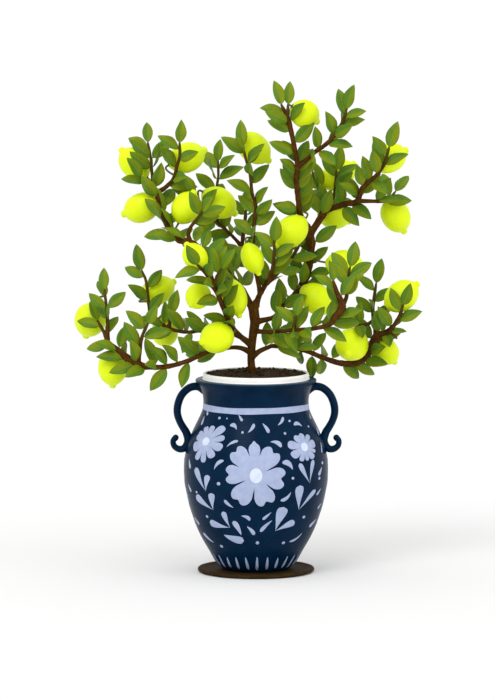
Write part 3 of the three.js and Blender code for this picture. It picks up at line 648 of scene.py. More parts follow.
FOOT_STROKES = 26
FOOT_STROKE_HEIGHT = 27 * MM
for n in range(FOOT_STROKES):
    length = 26 + 3 * math.sin(n * 2.1) + (5 if n % 13 == 0 else 0)
    lean = -90 + 6 * math.sin(n * 1.3)
    angle = (n + 0.1) * math.tau / FOOT_STROKES
    shape = stroke(length, 5.8, lean, taper=0.5)
    lavender.append(brushed(shape, angle, FOOT_STROKE_HEIGHT))

NECK_BAND = (329, 341)  # its lower and upper edges, in millimetres


def neck_band(t, v):
    """A band all round the neck, with slightly wavering edges."""
    low, high = NECK_BAND
    wander = 0.5 * math.sin(math.tau * t * 3) + 0.3 * math.sin(math.tau * t * 7 + 1 + v)
    level = (low + (high - low) * (v + 1) / 2 + wander) * MM
    return t * math.tau * vase_radius(level), level, (1 - v * v) * 0.5


lavender.append(brushed(neck_band, 0, 0, along=120, over=6))


def painted(name, daubs, finish):
    """The daubs as one piece, backed so that each is closed, with its back in the glaze."""
    piece = joined(name, daubs, closed=False)
    backing = piece.modifiers.new("backing", "SOLIDIFY")
    backing.thickness = SLIP_BACKING
    backing.offset = -1
    bpy.ops.object.modifier_apply(modifier=backing.name)
    bpy.ops.object.shade_smooth_by_angle(angle=math.radians(60))
    belongs(piece, [finish], "painting")


# Grain: fine relief from 0 to 1, of the size that Scale gives.
grain, grain_in, grain_out = new_group(
    "grain", {"Scale": 300.0, "Detail": 3.0}, {"Height": "Float"}
)
place = add_node(grain, "TexCoord").outputs["Object"]
speckle = add_node(grain, "TexNoise", {
    "Vector": place, "Scale": grain_in["Scale"], "Detail": grain_in["Detail"],
})
grain.links.new(speckle.outputs[0], grain_out["Height"])

lavender_slip, tree, shader = patchy_finish(
    "lavender_slip", 70.0, 0.3, (153, 165, 200), (170, 182, 210),
    Roughness=0.45, Specular_IOR_Level=0.15,
)
streaks = use_group(tree, grain, Scale=420.0, Detail=2.0)
raise_surface(tree, shader, streaks["Height"], 0.1 * MM, 0.6)

white_slip, _, _ = patchy_finish(
    "white_slip", 90.0, 0.24, (200, 210, 234), (214, 223, 244),
    Roughness=0.45, Specular_IOR_Level=0.15,
)

painted("painting_lavender", lavender, lavender_slip)
painted("painting_centres", centres, white_slip)

# ---------------------------------------------------------------- soil
# The soil is dark, crumbly potting mix. It fills the vase to the brim of its collar and rises a
# little round the trunk, with loose crumbs lying on its top.

SOIL_EDGE = 399  # its height where it meets the collar, and in the middle, in millimetres
SOIL_CROWN = 402.5
HEAP_RINGS = 26
CRUMBS = 150
CRUMB_SIZES = (1.3, 4.5)
CRUMBS_WITHIN = 0.96  # the share of the soil's radius that they lie in


def draw(number, use):
    """A draw from 0 to 1 that is the same on every run."""
    wave = math.sin(number * 12.9898 + use * 78.233) * 43758.5453
    return wave - math.floor(wave)


def soil_top(radius):
    """The height of the heap at a distance from the middle, in millimetres."""
    return SOIL_CROWN - (SOIL_CROWN - SOIL_EDGE) * (radius / soil_radius) ** 2


def roughened(piece, size, depth, above=-1.0):
    """Moves the points above a height in or out along their normals, by lumps of that size."""
    for vertex in piece.data.vertices:
        if vertex.co.z > above:
            vertex.co += vertex.normal * noise.noise(vertex.co / size) * depth


soil_wall = [point for point in inside_line if VASE_FLOOR < point.y < SOIL_EDGE - 1]
soil_radius = line_radius(inside_line, SOIL_EDGE)
rings = [1 - n / HEAP_RINGS for n in range(1, HEAP_RINGS)]
heap = [soil_radius * share for share in (0.985, *rings)]
soil = turned("soil_heap", [
    (0, VASE_FLOOR), (56, VASE_FLOOR), *((point.x - 0.2, point.y) for point in soil_wall),
    (soil_radius, SOIL_EDGE), *((radius, soil_top(radius)) for radius in heap), (0, SOIL_CROWN),
])
above_edge = (SOIL_EDGE + 0.2) * MM
roughened(soil, 0.022, 1.6 * MM, above_edge)
roughened(soil, 0.006, 1.8 * MM, above_edge)

bpy.ops.object.select_all(action="DESELECT")
bpy.ops.mesh.primitive_ico_sphere_add(subdivisions=2, radius=1)
crumb = bpy.context.object
roughened(crumb, 0.9, 0.55)


def set_out(model, places):
    """Copies of a model, each with its own mesh, one at each place."""
    copies = []
    for place in places:
        one = model.copy()
        one.data = model.data.copy()
        one.data.transform(place)
        bpy.context.collection.objects.link(one)
        copies.append(one)
    return copies


crumb_places = []
smallest, largest = CRUMB_SIZES
for n in range(CRUMBS):
    radius = soil_radius * CRUMBS_WITHIN * math.sqrt(draw(n, 1))
    angle = math.tau * draw(n, 2)
    size = smallest + (largest - smallest) * draw(n, 3) ** 2
    height = soil_top(radius) + size * 0.2
    spot = Vector((radius * math.cos(angle), radius * math.sin(angle), height))
    turn = Matrix.Rotation(math.tau * draw(n, 4), 4, "Z") @ Matrix.Rotation(draw(n, 5), 4, "X")
    shape = Matrix.Diagonal((size, size * (0.7 + 0.3 * draw(n, 6)), size * 0.7, 1))
    crumb_places.append(Matrix.Scale(MM, 4) @ Matrix.Translation(spot) @ turn @ shape)
crumbs = joined("soil_crumbs", set_out(crumb, crumb_places))
bpy.data.objects.remove(crumb)

potting_mix, tree, shader = patchy_finish(
    "potting_mix", 160.0, 0.16, (34, 24, 13), (70, 51, 30),
    Roughness=0.95, Specular_IOR_Level=0.12,
)
grit = use_group(tree, grain, Scale=900.0, Detail=4.0)
raise_surface(tree, shader, grit["Height"], 1.2 * MM)
belongs(soil, [potting_mix], "soil", "soil")
belongs(crumbs, [potting_mix], "soil")

# ---------------------------------------------------------------- trunk and branches
# The wood is the tree's own: a short trunk that forks into stems with brown, finely cracked
# bark. It swells where stems part and where leaves are set, and greens towards the young tips.

# name: (its solid, the bare length at its foot, [(across, up, back, half thickness), ...]), in
# millimetres as the front is seen, from each stem's foot to its tip.
STEMS = {
    "trunk": ("trunk", None, [
        (-8, 352, 0, 8.5), (-8, 394, 0, 8), (-10, 424, 0, 7.4), (-9, 444, 0, 7.8),
        (-6, 474, 0, 8.4), (-2, 500, 0, 10), (-4, 520, 0, 10.5), (-1, 540, 0, 7),
    ]),
    "rear": ("branch_rear", 120, [
        (-5, 522, 0, 6.5), (-24, 560, 15, 6), (-32, 572, 40, 5.6), (-50, 598, 80, 5),
        (-44, 616, 95, 4.6), (-32, 634, 110, 4.2), (-26, 674, 130, 4), (-22, 704, 140, 3.6),
        (-20, 730, 150, 3),
    ]),
    "rear_shoot": ("branch_rear", 14, [
        (-50, 598, 80, 3.6), (-68, 620, 110, 3.2), (-74, 640, 130, 2.8),
    ]),
    "cross": ("branch_cross", 34, [
        (-29, 654, 120, 3.6), (-44, 670, 112, 3.4), (-56, 682, 104, 3.3), (-78, 700, 88, 3.2),
        (-92, 706, 66, 3.2), (-102, 720, 48, 3), (-112, 740, 32, 3), (-126, 750, 18, 2.6),
    ]),
    "cross_shoot": ("branch_cross", 26, [
        (-78, 700, 88, 3.1), (-84, 734, 100, 2.9), (-80, 764, 106, 2.8), (-76, 794, 110, 2.6),
        (-76, 824, 112, 2.3),
    ]),
    "front_left": ("branch_front_left", 76, [
        (-8, 454, 0, 6.2), (-32, 472, -20, 5.6), (-48, 490, -40, 5.5), (-60, 516, -62, 5.2),
        (-70, 540, -80, 5), (-84, 572, -110, 4.4), (-100, 596, -130, 3.7), (-116, 612, -150, 3),
    ]),
    "front_left_shoot": ("branch_front_left", 10, [
        (-84, 572, -110, 3), (-76, 592, -118, 2.8), (-68, 604, -126, 2.4),
    ]),
    "upper_left": ("branch_upper_left", 40, [
        (-84, 572, -109, 4.2), (-94, 606, -98, 4.8), (-104, 638, -86, 5), (-128, 658, -60, 5.2),
        (-152, 664, -32, 7.8), (-168, 682, -10, 7.8), (-182, 704, 5, 6), (-188, 724, 20, 5.4),
        (-194, 744, 30, 5.2), (-200, 762, 40, 5.2), (-216, 776, 30, 3.6), (-230, 788, 20, 2.8),
    ]),
    "upper_left_top": ("branch_upper_left", 20, [
        (-204, 766, 38, 3.6), (-209, 804, 50, 3.2), (-210, 824, 60, 3), (-214, 844, 72, 2.8),
        (-217, 860, 82, 2.4),
    ]),
    "upper_left_inner": ("branch_upper_left_inner", 18, [
        (-132, 660, -56, 3.8), (-134, 680, -60, 3.5), (-122, 698, -70, 3.2), (-112, 710, -80, 3),
        (-106, 718, -92, 2.6),
    ]),
    "upper_left_fork": ("branch_upper_left_fork", 24, [
        (-199, 758, 38, 4.6), (-180, 770, 30, 4.2), (-164, 788, 18, 3.8), (-158, 810, 5, 3.4),
        (-152, 830, -8, 3.1), (-152, 856, -20, 2.6),
    ]),
    "low_left": ("branch_low_left", 90, [
        (-10, 440, 0, 5.2), (-36, 449, -12, 4.4), (-72, 446, -30, 4.2), (-102, 438, -42, 4.4),
        (-132, 424, -55, 4.6), (-172, 412, -70, 4.8), (-212, 410, -82, 5.2), (-234, 416, -88, 8),
        (-256, 428, -86, 7.8), (-274, 444, -76, 5.2), (-294, 460, -66, 4.4),
        (-302, 478, -52, 3.6), (-316, 502, -30, 2.8),
    ]),
    "low_left_tall": ("branch_low_left", 18, [
        (-296, 464, -63, 3.9), (-295, 494, -58, 3.6), (-297, 524, -50, 3.3),
        (-302, 564, -42, 2.7),
    ]),
    "low_left_inner": ("branch_low_left", 16, [
        (-234, 416, -88, 4.2), (-228, 462, -100, 3.6), (-222, 480, -110, 3.3),
        (-214, 496, -122, 2.8),
    ]),
    "back_left": ("branch_back_left", 84, [
        (-32, 472, -20, 4.2), (-62, 478, 10, 3.6), (-112, 482, 60, 3.6), (-136, 480, 74, 3.6),
        (-156, 482, 84, 3.7), (-176, 488, 92, 3.8), (-192, 498, 98, 3.7), (-206, 506, 104, 3.6),
        (-214, 520, 110, 3.5), (-218, 554, 114, 3.2), (-222, 584, 118, 3), (-230, 604, 120, 2.5),
    ]),
    "back_left_shoot": ("branch_back_left", 10, [
        (-176, 488, 92, 3.2), (-172, 508, 88, 2.8), (-170, 518, 86, 2.5),
    ]),
    "centre": ("branch_centre", 50, [
        (-1, 532, 0, 5.6), (6, 552, -4, 5.2), (14, 566, -10, 4.8), (24, 582, -25, 4.3),
        (30, 596, -40, 3.9), (34, 612, -50, 3.6), (36, 634, -64, 3.2), (36, 660, -80, 2.7),
    ]),
    "centre_tall": ("branch_centre_tall", 60, [
        (9, 557, -7, 4.4), (2, 588, -20, 4.1), (-8, 624, -12, 4), (-6, 658, 0, 3.9),
        (-4, 694, 0, 3.8), (0, 728, -8, 3.6), (-8, 758, -20, 3.4), (-12, 794, -40, 3.2),
        (-20, 822, -50, 2.9), (-26, 848, -48, 2.5),
    ]),
    "centre_right": ("branch_centre_right", 40, [
        (22, 578, -22, 4), (40, 596, 0, 5.2), (54, 610, 20, 5), (66, 622, 34, 4.4),
        (76, 636, 46, 3.7), (86, 652, 60, 2.9),
    ]),
    "right": ("branch_right", 96, [
        (-2, 500, 0, 6), (16, 504, 5, 5), (32, 508, 12, 4.7), (42, 516, 20, 4.7),
        (60, 540, 36, 5), (72, 550, 50, 5.4), (90, 568, 62, 7.4), (98, 588, 70, 9.5),
        (106, 612, 66, 7.8), (110, 644, 62, 7.8), (110, 662, 58, 9.2), (104, 692, 44, 7.6),
    ]),
    "crown_left": ("branch_crown_left", 26, [
        (106, 684, 47, 6.2), (96, 702, 34, 6), (88, 716, 20, 5.6), (84, 744, -10, 5.2),
        (80, 784, -40, 5.4), (82, 812, -60, 4.8), (74, 854, -80, 4.7), (66, 892, -88, 4.9),
        (60, 908, -90, 4.6), (50, 928, -94, 3),
    ]),
    "crown_left_shoot": ("branch_crown_left", 8, [
        (61, 904, -90, 3.6), (63, 917, -89, 3.2), (63, 929, -87, 2.6),
    ]),
    "crown_shoulder": ("branch_crown_shoulder", 26, [
        (81, 806, -56, 4.4), (104, 824, -76, 4.6), (114, 834, -88, 4.7), (140, 852, -108, 4.1),
        (162, 878, -118, 3.6), (174, 902, -125, 3.3), (178, 918, -130, 2.7),
    ]),
    "crown_right": ("branch_crown_right", 26, [
        (108, 676, 52, 5.8), (124, 700, 70, 7), (138, 724, 88, 7.8), (142, 744, 100, 7.6),
        (132, 764, 110, 5), (120, 782, 120, 4), (114, 802, 130, 3),
    ]),
    "crown_right_shoot": ("branch_crown_right", 12, [
        (141, 740, 98, 4), (156, 752, 92, 3.5), (160, 784, 86, 3.1), (162, 804, 80, 2.6),
    ]),
    "far_right": ("branch_far_right", 40, [
        (138, 724, 88, 5.4), (176, 736, 60, 6.2), (202, 742, 30, 5.6), (210, 764, 0, 5),
        (224, 778, -10, 4.3), (236, 788, -20, 3.9), (254, 812, -30, 3.6), (264, 846, -40, 2.8),
    ]),
    "far_right_low": ("branch_far_right_low", 26, [
        (202, 742, 30, 4), (238, 742, 46, 3.8), (252, 742, 60, 3.7), (266, 746, 74, 3.3),
        (280, 762, 90, 2.6),
    ]),
    "front_right": ("branch_front_right", 60, [
        (-5, 482, 0, 4.8), (28, 480, -25, 3.8), (54, 482, -50, 3.7), (92, 485, -75, 3.8),
        (112, 486, -90, 4.1), (144, 494, -110, 4.6), (154, 506, -120, 6.8), (170, 530, -130, 8),
        (160, 556, -140, 4.6), (152, 580, -150, 3.2),
    ]),
    "front_right_shoot": ("branch_front_right", 8, [
        (74, 484, -64, 3), (77, 500, -69, 2.8), (80, 512, -74, 2.5),
    ]),
    "front_right_tall": ("branch_front_right_tall", 26, [
        (168, 526, -128, 4.4), (178, 546, -118, 3.9), (180, 564, -110, 3.5),
        (182, 584, -100, 3.3), (186, 608, -90, 2.7),
    ]),
    "low_right": ("branch_low_right", 90, [
        (-9, 430, 0, 5.4), (8, 442, 6, 4.8), (24, 449, 13, 4.5), (38, 452, 20, 4.4),
        (94, 444, 60, 4.6), (132, 430, 78, 5), (164, 419, 90, 5.6), (194, 417, 92, 7),
        (214, 426, 88, 8.6), (236, 454, 78, 10), (244, 472, 68, 9.2), (264, 480, 42, 6.3),
        (278, 496, 22, 4.1), (288, 514, 10, 3.6), (294, 534, 0, 2.7),
    ]),
    "low_right_stub": ("branch_low_right", 40, [
        (262, 479, 44, 3.8), (272, 476, 40, 3.4), (282, 468, 36, 2.8),
    ]),
    "low_right_tall": ("branch_low_right_tall", 18, [
        (243, 470, 70, 5), (240, 488, 76, 4.3), (236, 506, 80, 3.8), (236, 534, 84, 3.5),
        (238, 550, 86, 3.3), (242, 578, 90, 2.7),
    ]),
    "low_right_inner": ("branch_low_right_tall", 12, [
        (237, 502, 79, 3.4), (216, 494, 62, 3), (198, 498, 44, 2.6),
    ]),
}
FORKED_END = "right"  # this stem ends in a fork, where the others end in a leaf
WOOD_SIDES = 12
RING_STEP = 4.5
LEAF_STEP = 22.6  # along a stem, from one leaf to the next
COLLAR = (0.6, 9)  # how much thicker a stem's foot is, and how far up that fades
SWELLING = (0.14, 2.6)  # the same for the wood on either side of each leaf
NARROWING = (0.2, 4)  # and how much thinner its tip is
ROOT_RIDGES = 5
ROOT_SPREAD = (0.4, 7)  # how much wider the trunk's foot is, and how far up that fades
UP = Vector((0, 0, 1))


def seen_at(across, up, back):
    """The spot seen that far across and up the view, and that far back from the middle."""
    return Vector((across, back, (up - back * math.sin(VIEW_TILT)) / math.cos(VIEW_TILT)))


class Limb:
    """A smooth line through points that each have a half thickness, in millimetres."""

    def __init__(self, points, radii):
        self.radii = radii
        self.points = [points[0] * 2 - points[1], *points, points[-1] * 2 - points[-2]]
        self.spans = [(b - a).length for a, b in zip(points, points[1:])]
        self.length = sum(self.spans)

    def point_at(self, knot):
        first = min(int(knot), len(self.spans) - 1)
        return between(*self.points[first : first + 4], knot - first)

    def tangent_at(self, knot):
        ahead = self.point_at(min(knot + 0.02, len(self.spans)))
        return (ahead - self.point_at(max(knot - 0.02, 0))).normalized()

    def radius_at(self, knot):
        first = min(int(knot), len(self.spans) - 1)
        return self.radii[first] + (self.radii[first + 1] - self.radii[first]) * (knot - first)

    def knot_at(self, distance):
        for i, span in enumerate(self.spans):
            if distance <= span:
                return i + distance / span
            distance -= span
        return len(self.spans)


limbs = {}
for name, (_, _, route) in STEMS.items():
    limbs[name] = Limb([seen_at(*stop[:3]) for stop in route], [stop[3] for stop in route])


def leaf_count(name):
    """How many leaves a stem has in the plain solids."""
    bare = STEMS[name][1]
    return 0 if bare is None else 1 + math.floor((limbs[name].length - bare) / LEAF_STEP)


def leaf_distance(name, k):
    """How far up its stem leaf k stands. Leaf 0 stands at the tip."""
    return limbs[name].length - max(k - 0.3, 0) * LEAF_STEP


def stem_tube(name):
    """A stem with a collar at its foot, a swelling at each leaf and a rounded tip."""
    limb = limbs[name]
    rings = round(limb.length / RING_STEP)
    leaf_places = [leaf_distance(name, k) for k in range(1, leaf_count(name))]
    stations = []
    for n in range(rings + 1):
        distance = limb.length * n / rings
        knot = limb.knot_at(distance)
        share = 1 - NARROWING[0] * math.exp((distance - limb.length) / NARROWING[1])
        if name != "trunk":
            share += COLLAR[0] * math.exp(-distance / COLLAR[1])
        for at in leaf_places:
            share += SWELLING[0] * math.exp(-(((distance - at) / SWELLING[1]) ** 2))
        stations.append((limb.point_at(knot) * MM, limb.radius_at(knot) * share * MM))
    stations += rounded_end(stations[-1], limb.tangent_at(len(limb.spans)), (0.5, 1.0, 1.35))
    chord = (limb.points[-2] - limb.points[1]).normalized()
    return rolled_tube(stations, WOOD_SIDES, UP if abs(chord.y) > 0.85 else TO_BACK)


def add_roots(trunk):
    """Spreads the trunk's foot into a few ridges that run down into the soil."""
    foot = limbs["trunk"].points[1] * MM
    for vertex in trunk.data.vertices:
        out = Vector((vertex.co.x - foot.x, vertex.co.y - foot.y, 0))
        angle = math.atan2(out.y, out.x)
        above = max(vertex.co.z / MM - SOIL_CROWN, 0)
        spread = ROOT_SPREAD[0] * math.exp(-above / ROOT_SPREAD[1])
        vertex.co += out * spread * (0.45 + 0.55 * math.cos(ROOT_RIDGES * angle + 0.6))


bark, tree, shader = new_finish("bark", Roughness=0.85, Specular_IOR_Level=0.08)
run = add_node(tree, "Attribute", attribute_name="run").outputs["Vector"]
lengthwise = add_node(tree, "Mapping", {"Vector": run, "Scale": (1, 1, 0.16)}).outputs[0]
cracks = add_node(tree, "TexNoise", {
    "Vector": lengthwise, "Scale": 520.0, "Detail": 5.0, "Roughness": 0.65,
})
worn = use_group(
    tree, patches, Scale=75.0, Contrast=0.25, Dark=srgb(68, 42, 10), Light=srgb(98, 62, 16)
)
cracked = ramped(tree, cracks.outputs[0], 0.36, 0.52)
bark_colour = mixed(tree, cracked, srgb(52, 30, 6), worn["Color"])
# The thin young wood is greener.
across_run = add_node(tree, "VectorMath", {0: run, 1: (1, 1, 0)}, operation="MULTIPLY").outputs[0]
thickness = add_node(tree, "VectorMath", {0: across_run}, operation="LENGTH").outputs["Value"]
young = ramped(tree, thickness, 2.2 * MM, 4.2 * MM, 0.55, 0.0)
tree.links.new(mixed(tree, young, bark_colour, srgb(84, 84, 34)), shader.inputs["Base Color"])
raise_surface(tree, shader, cracks.outputs[0], 0.9 * MM, 0.9)

for node in dict.fromkeys(stem[0] for stem in STEMS.values()):
    tubes = [stem_tube(name) for name, stem in STEMS.items() if stem[0] == node]
    if node == "trunk":
        add_roots(tubes[0])
    wood = joined(node + "_wood", tubes)
    roughened(wood, 0.011, 0.55 * MM)
    belongs(wood, [bark], "bark", node)

# ---------------------------------------------------------------- leaves
# A lemon leaf is a leathery oval with a pointed tip, folded a little along its midrib, glossy
# deep green above and paler below. One is modelled, and a bent copy is set at each leaf's place.

LEAF_TURNS = (0, 40, -40, 80, -80, 125, -125, 180)  # degrees about the stem, in the order tried
LEAF_ROOT_DEPTH = 2.6
LEAF_LENGTHS = (47, 60)
LEAF_STATIONS = (0, 0.07, 0.15, 0.25, 0.38, 0.52, 0.66, 0.79, 0.9, 1)  # shares of the length
LEAF_NECK = 0.07  # the share of the length where the blade begins
LEAF_THICKNESS = 0.55 * MM
LEAF_HALF_WIDTH = 0.222  # this and the next three are shares of its length
LEAF_ARCH = 0.2
LEAF_DROOP = 0.06
LEAF_SWAY = 0.16
LEAF_FOLD = 0.32  # how far each half rises from the midrib, as a share of the half width
MARGIN_WAVES = 1.4  # how many waves there are along the margin
END_LEAN = 6  # degrees from its stem for a stem's last leaf, and more for each turn tried
END_LEAN_MORE = 9
SIDE_LEANS = (44, 68)  # degrees from the stem for the others
ROLL_SPREAD = 64  # degrees about the stem, by which leaves differ
RISE_TO_LIGHT = 0.22
OPPOSITE_SHARE = 0.28  # of the leaves, how many are tried with another opposite them
LOWER_SHARE = 0.42  # how many of the places below a stem's lowest leaf are tried
SIDEWAYS_SHARE = 0.3  # of all those places, how many get a leaf that faces to a side
SIDEWAYS_TURNS = (3, 4, 5, 6)
LOWEST_LEAF = 22  # how near to a stem's foot those may stand
LEAST_FACING = 0.45  # how far an added leaf is turned to the view, where 1 is square to it


def leaf_place(name, k, slot, turn, side=1, facing=None):
    """(root, along, normal, across, length) of leaf k of a stem, counted back from its tip."""
    limb = limbs[name]
    knot = limb.knot_at(leaf_distance(name, k))
    tangent = limb.tangent_at(knot)
    to_side = tangent.cross(TO_BACK).normalized() * (side if k % 2 else -side)
    to_front = to_side.cross(tangent).normalized()
    root = limb.point_at(knot) - (tangent * LEAF_ROOT_DEPTH if k == 0 else Vector())
    lean = END_LEAN + END_LEAN_MORE * turn
    if k > 0:
        lean = SIDE_LEANS[0] + (SIDE_LEANS[1] - SIDE_LEANS[0]) * draw(slot, 1)
    lean = math.radians(lean)
    roll = math.radians(LEAF_TURNS[turn] + ROLL_SPREAD * (draw(slot, 2) - 0.5))
    outward = to_side * math.cos(roll) + to_front * math.sin(roll)
    along = tangent * math.cos(lean) + outward * math.sin(lean)
    along = (along + UP * RISE_TO_LIGHT).normalized()
    facing = facing or Vector((0.7 * (draw(slot, 3) - 0.5), -0.8, 0.15 + 0.6 * draw(slot, 4)))
    normal = (facing - along * facing.dot(along)).normalized()
    length = LEAF_LENGTHS[0] + (LEAF_LENGTHS[1] - LEAF_LENGTHS[0]) * draw(slot, 5)
    if k > 0:
        root += outward * max(limb.radius_at(knot) - LEAF_ROOT_DEPTH, 0)
    return root, along, normal, normal.cross(along), length


def rolled_open(root, along, normal, across, length):
    """The same place, where a blade that would be seen on its edge is rolled towards the view."""
    if normal.dot(view_back) < LEAST_FACING:
        square = (view_back - along * view_back.dot(along)).normalized()
        normal = normal.lerp(square, 0.6).normalized()
    return root, along, normal, normal.cross(along), length


def point_tree(node):
    """A search tree of a plain solid's points, in millimetres."""
    points = frame["nodes"][node].data.vertices
    finder = KDTree(len(points))
    for point in points:
        finder.insert(point.co / MM, point.index)
    finder.balance()
    return finder


leaf_model = new_grid(4, len(LEAF_STATIONS) - 1)
for vertex in leaf_model.data.vertices:
    u = LEAF_STATIONS[round((vertex.co.y + 0.5) * (len(LEAF_STATIONS) - 1))]
    blade = max((u - LEAF_NECK) / (1 - LEAF_NECK), 0)
    width = max(math.sin(math.pi * blade**0.86), 0) ** 0.8 + 0.075 * (1 - u) ** 3
    vertex.co = (vertex.co.x * 2 * width, u, 0)
for loop in leaf_model.data.loops:
    spot = leaf_model.data.uv_layers[0].data[loop.index]
    spot.uv = (spot.uv.x, leaf_model.data.vertices[loop.vertex_index].co.y)
past_root = LEAF_STATIONS[2] - 1e-6
blade_faces = [
    face.vertices[:] for face in leaf_model.data.polygons
    if min(leaf_model.data.vertices[corner].co.y for corner in face.vertices) > past_root
]


def leaf_points(slot, root, along, normal, across, length):
    """The model's points set there, arched, folded at the midrib and wavy along the margin."""
    half = length * LEAF_HALF_WIDTH
    wave = 0.9 + 1.2 * draw(slot, 7)
    points = []
    for vertex in leaf_model.data.vertices:
        x, u, _ = vertex.co
        rise = length * (LEAF_ARCH * u * (1 - u) - LEAF_DROOP * u) + LEAF_FOLD * abs(x) * half
        rise += wave * x * math.sin(math.tau * (MARGIN_WAVES * u + draw(slot, 8)))
        sway = (draw(slot, 9) - 0.5) * LEAF_SWAY * length * u * (1 - u)
        points.append(root + along * u * length - across * (x * half + sway) + normal * rise)
    return points


def leaf_at(slot, points):
    """A copy of the model with its points there, and a tone of its own."""
    leaf = set_out(leaf_model, [Matrix()])[0]
    for vertex, point in zip(leaf.data.vertices, points):
        vertex.co = point * MM
    tone = leaf.data.attributes.new("tone", "FLOAT", "POINT")
    tone.data.foreach_set("value", [draw(slot, 6)] * len(points))
    return leaf


def leaf_finish(name, painted_shade_half, painted_light_half, rib, roughness):
    """A leaf's face: halves with painted shade and painted light, a pale midrib and side veins."""
    material, tree, shader = new_finish(name, Roughness=roughness, Specular_IOR_Level=0.12)

    def reckoned(operation, *values):
        feeds = dict(enumerate(values))
        return add_node(tree, "Math", feeds, operation=operation).outputs[0]

    def sum_of(value, factor, more):
        return reckoned("MULTIPLY_ADD", value, factor, more)

    place = add_node(tree, "SeparateXYZ", {0: add_node(tree, "UVMap").outputs[0]})
    across, along = place.outputs[0], place.outputs[1]
    from_rib = reckoned("ABSOLUTE", sum_of(across, 1.0, -0.5))
    # One half of the blade is painted darker and the other lighter: painted shade and painted light
    # on the two sides of the midrib's fold.
    blade = mixed(tree, ramped(tree, across, 0.4, 0.6), painted_shade_half, painted_light_half)
    tone = add_node(tree, "Attribute", attribute_name="tone").outputs["Fac"]
    own = add_node(tree, "HueSaturation", {
        "Hue": sum_of(tone, -0.018, 0.509), "Value": sum_of(tone, 0.22, 0.89), "Color": blade,
    })
    dull, bright = (0.88, 0.88, 0.88, 1), (1.06, 1.06, 1.06, 1)
    cloudy = use_group(tree, patches, Scale=60.0, Contrast=0.3, Dark=dull, Light=bright)
    mottled = add_node(
        tree, "Mix", {0: 1.0, 6: own.outputs[0], 7: cloudy["Color"]},
        data_type="RGBA", blend_type="MULTIPLY",
    ).outputs[2]
    # The side veins leave the rib at a slant, nine to a side.
    cycle = reckoned("PINGPONG", sum_of(along, 10.0, sum_of(from_rib, -5.0, 0.0)), 1.0)
    vein = ramped(tree, cycle, 0.0, 0.16, 0.12, 0.0)
    midrib = ramped(tree, from_rib, 0.01, 0.045, 0.32, 0.0)
    lines = reckoned("MAXIMUM", vein, midrib)
    tree.links.new(mixed(tree, lines, mottled, rib), shader.inputs["Base Color"])
    raise_surface(tree, shader, sum_of(lines, -1.4, 1.0), 0.35 * MM, 0.7)
    return material


# Each leaf finish takes the colour of its half with painted shade, then that of its half with
# painted light.
leaf_face = leaf_finish(
    "leaf_face", srgb(91, 128, 31), srgb(117, 136, 15), srgb(146, 160, 52), 0.45
)
leaf_back = leaf_finish(
    "leaf_back", srgb(96, 128, 46), srgb(116, 140, 44), srgb(156, 168, 84), 0.6
)

leaves = {node: [] for node, bare, _ in STEMS.values() if bare is not None}
finders = {node: point_tree(node) for node in leaves}
standing = []
slot = 0
for name, (node, bare, _) in STEMS.items():
    for k in range(int(name == FORKED_END), leaf_count(name)):
        slot += 1
        for turn in range(len(LEAF_TURNS)):
            place = leaf_place(name, k, slot, turn)
            root, along, normal, _, length = place
            tip = root + along * length - normal * LEAF_DROOP * length
            if finders[node].find(tip)[2] < 0.5:
                points = leaf_points(slot, *rolled_open(*place))
                leaves[node].append(leaf_at(slot, points))
                standing.append(BVHTree.FromPolygons(points, blade_faces))
                break

# More leaves stand opposite those and lower on the stems, where they meet no other leaf, no
# wood and no lemon.
for piece in bpy.data.objects:
    if piece.name.endswith("_wood") or piece.name.startswith("lemon_"):
        outline = [vertex.co / MM for vertex in piece.data.vertices]
        faces = [face.vertices[:] for face in piece.data.polygons]
        standing.append(BVHTree.FromPolygons(outline, faces))


def has_room(points, blade):
    """Whether a leaf stays in front of the plant's back and meets nothing that stands there."""
    reach_back = max(point.y for point in points) * MM
    return reach_back < cad_box[1].y and not any(blade.overlap(other) for other in standing)


added_places = []
for name, (node, bare, _) in STEMS.items():
    if bare is not None:
        lowest = math.floor((limbs[name].length - LOWEST_LEAF) / LEAF_STEP)
        for k in range(1, lowest + 1):
            sides = (-1,) if k < leaf_count(name) else (-1, 1)
            added_places += [(name, node, k, side) for side in sides]
for name, node, k, side in added_places:
    slot += 1
    chance = draw(slot, 10)
    share = OPPOSITE_SHARE if k < leaf_count(name) else LOWER_SHARE
    if chance > share + SIDEWAYS_SHARE:
        continue
    turns, facing, least = range(len(LEAF_TURNS)), None, LEAST_FACING
    if chance > share:
        turns, facing, least = SIDEWAYS_TURNS, Vector((1 if slot % 2 else -1, -0.45, 0.45)), 0
    for turn in turns:
        place = leaf_place(name, k, slot, turn, side, facing)
        points = leaf_points(slot, *place)
        blade = BVHTree.FromPolygons(points, blade_faces)
        if place[2].dot(view_back) > least and has_room(points, blade):
            leaves[node].append(leaf_at(slot, points))
            standing.append(blade)
            break
bpy.data.objects.remove(leaf_model)

for node, blades in leaves.items():
    foliage = joined(node + "_leaves", blades, 0.05 * MM)
    blade_wall = foliage.modifiers.new("thickness", "SOLIDIFY")
    blade_wall.thickness = LEAF_THICKNESS
    blade_wall.offset = -1
    blade_wall.material_offset = 1
    bpy.ops.object.modifier_apply(modifier=blade_wall.name)
    belongs(foliage, [leaf_face, leaf_back], "leaf", node)

# ---------------------------------------------------------------- lemons
# Each lemon hangs on a short green stalk that spreads into a five-lobed calyx. The fruit is an
# oval with a nipple at its far end and a waxy, finely pitted yellow rind.

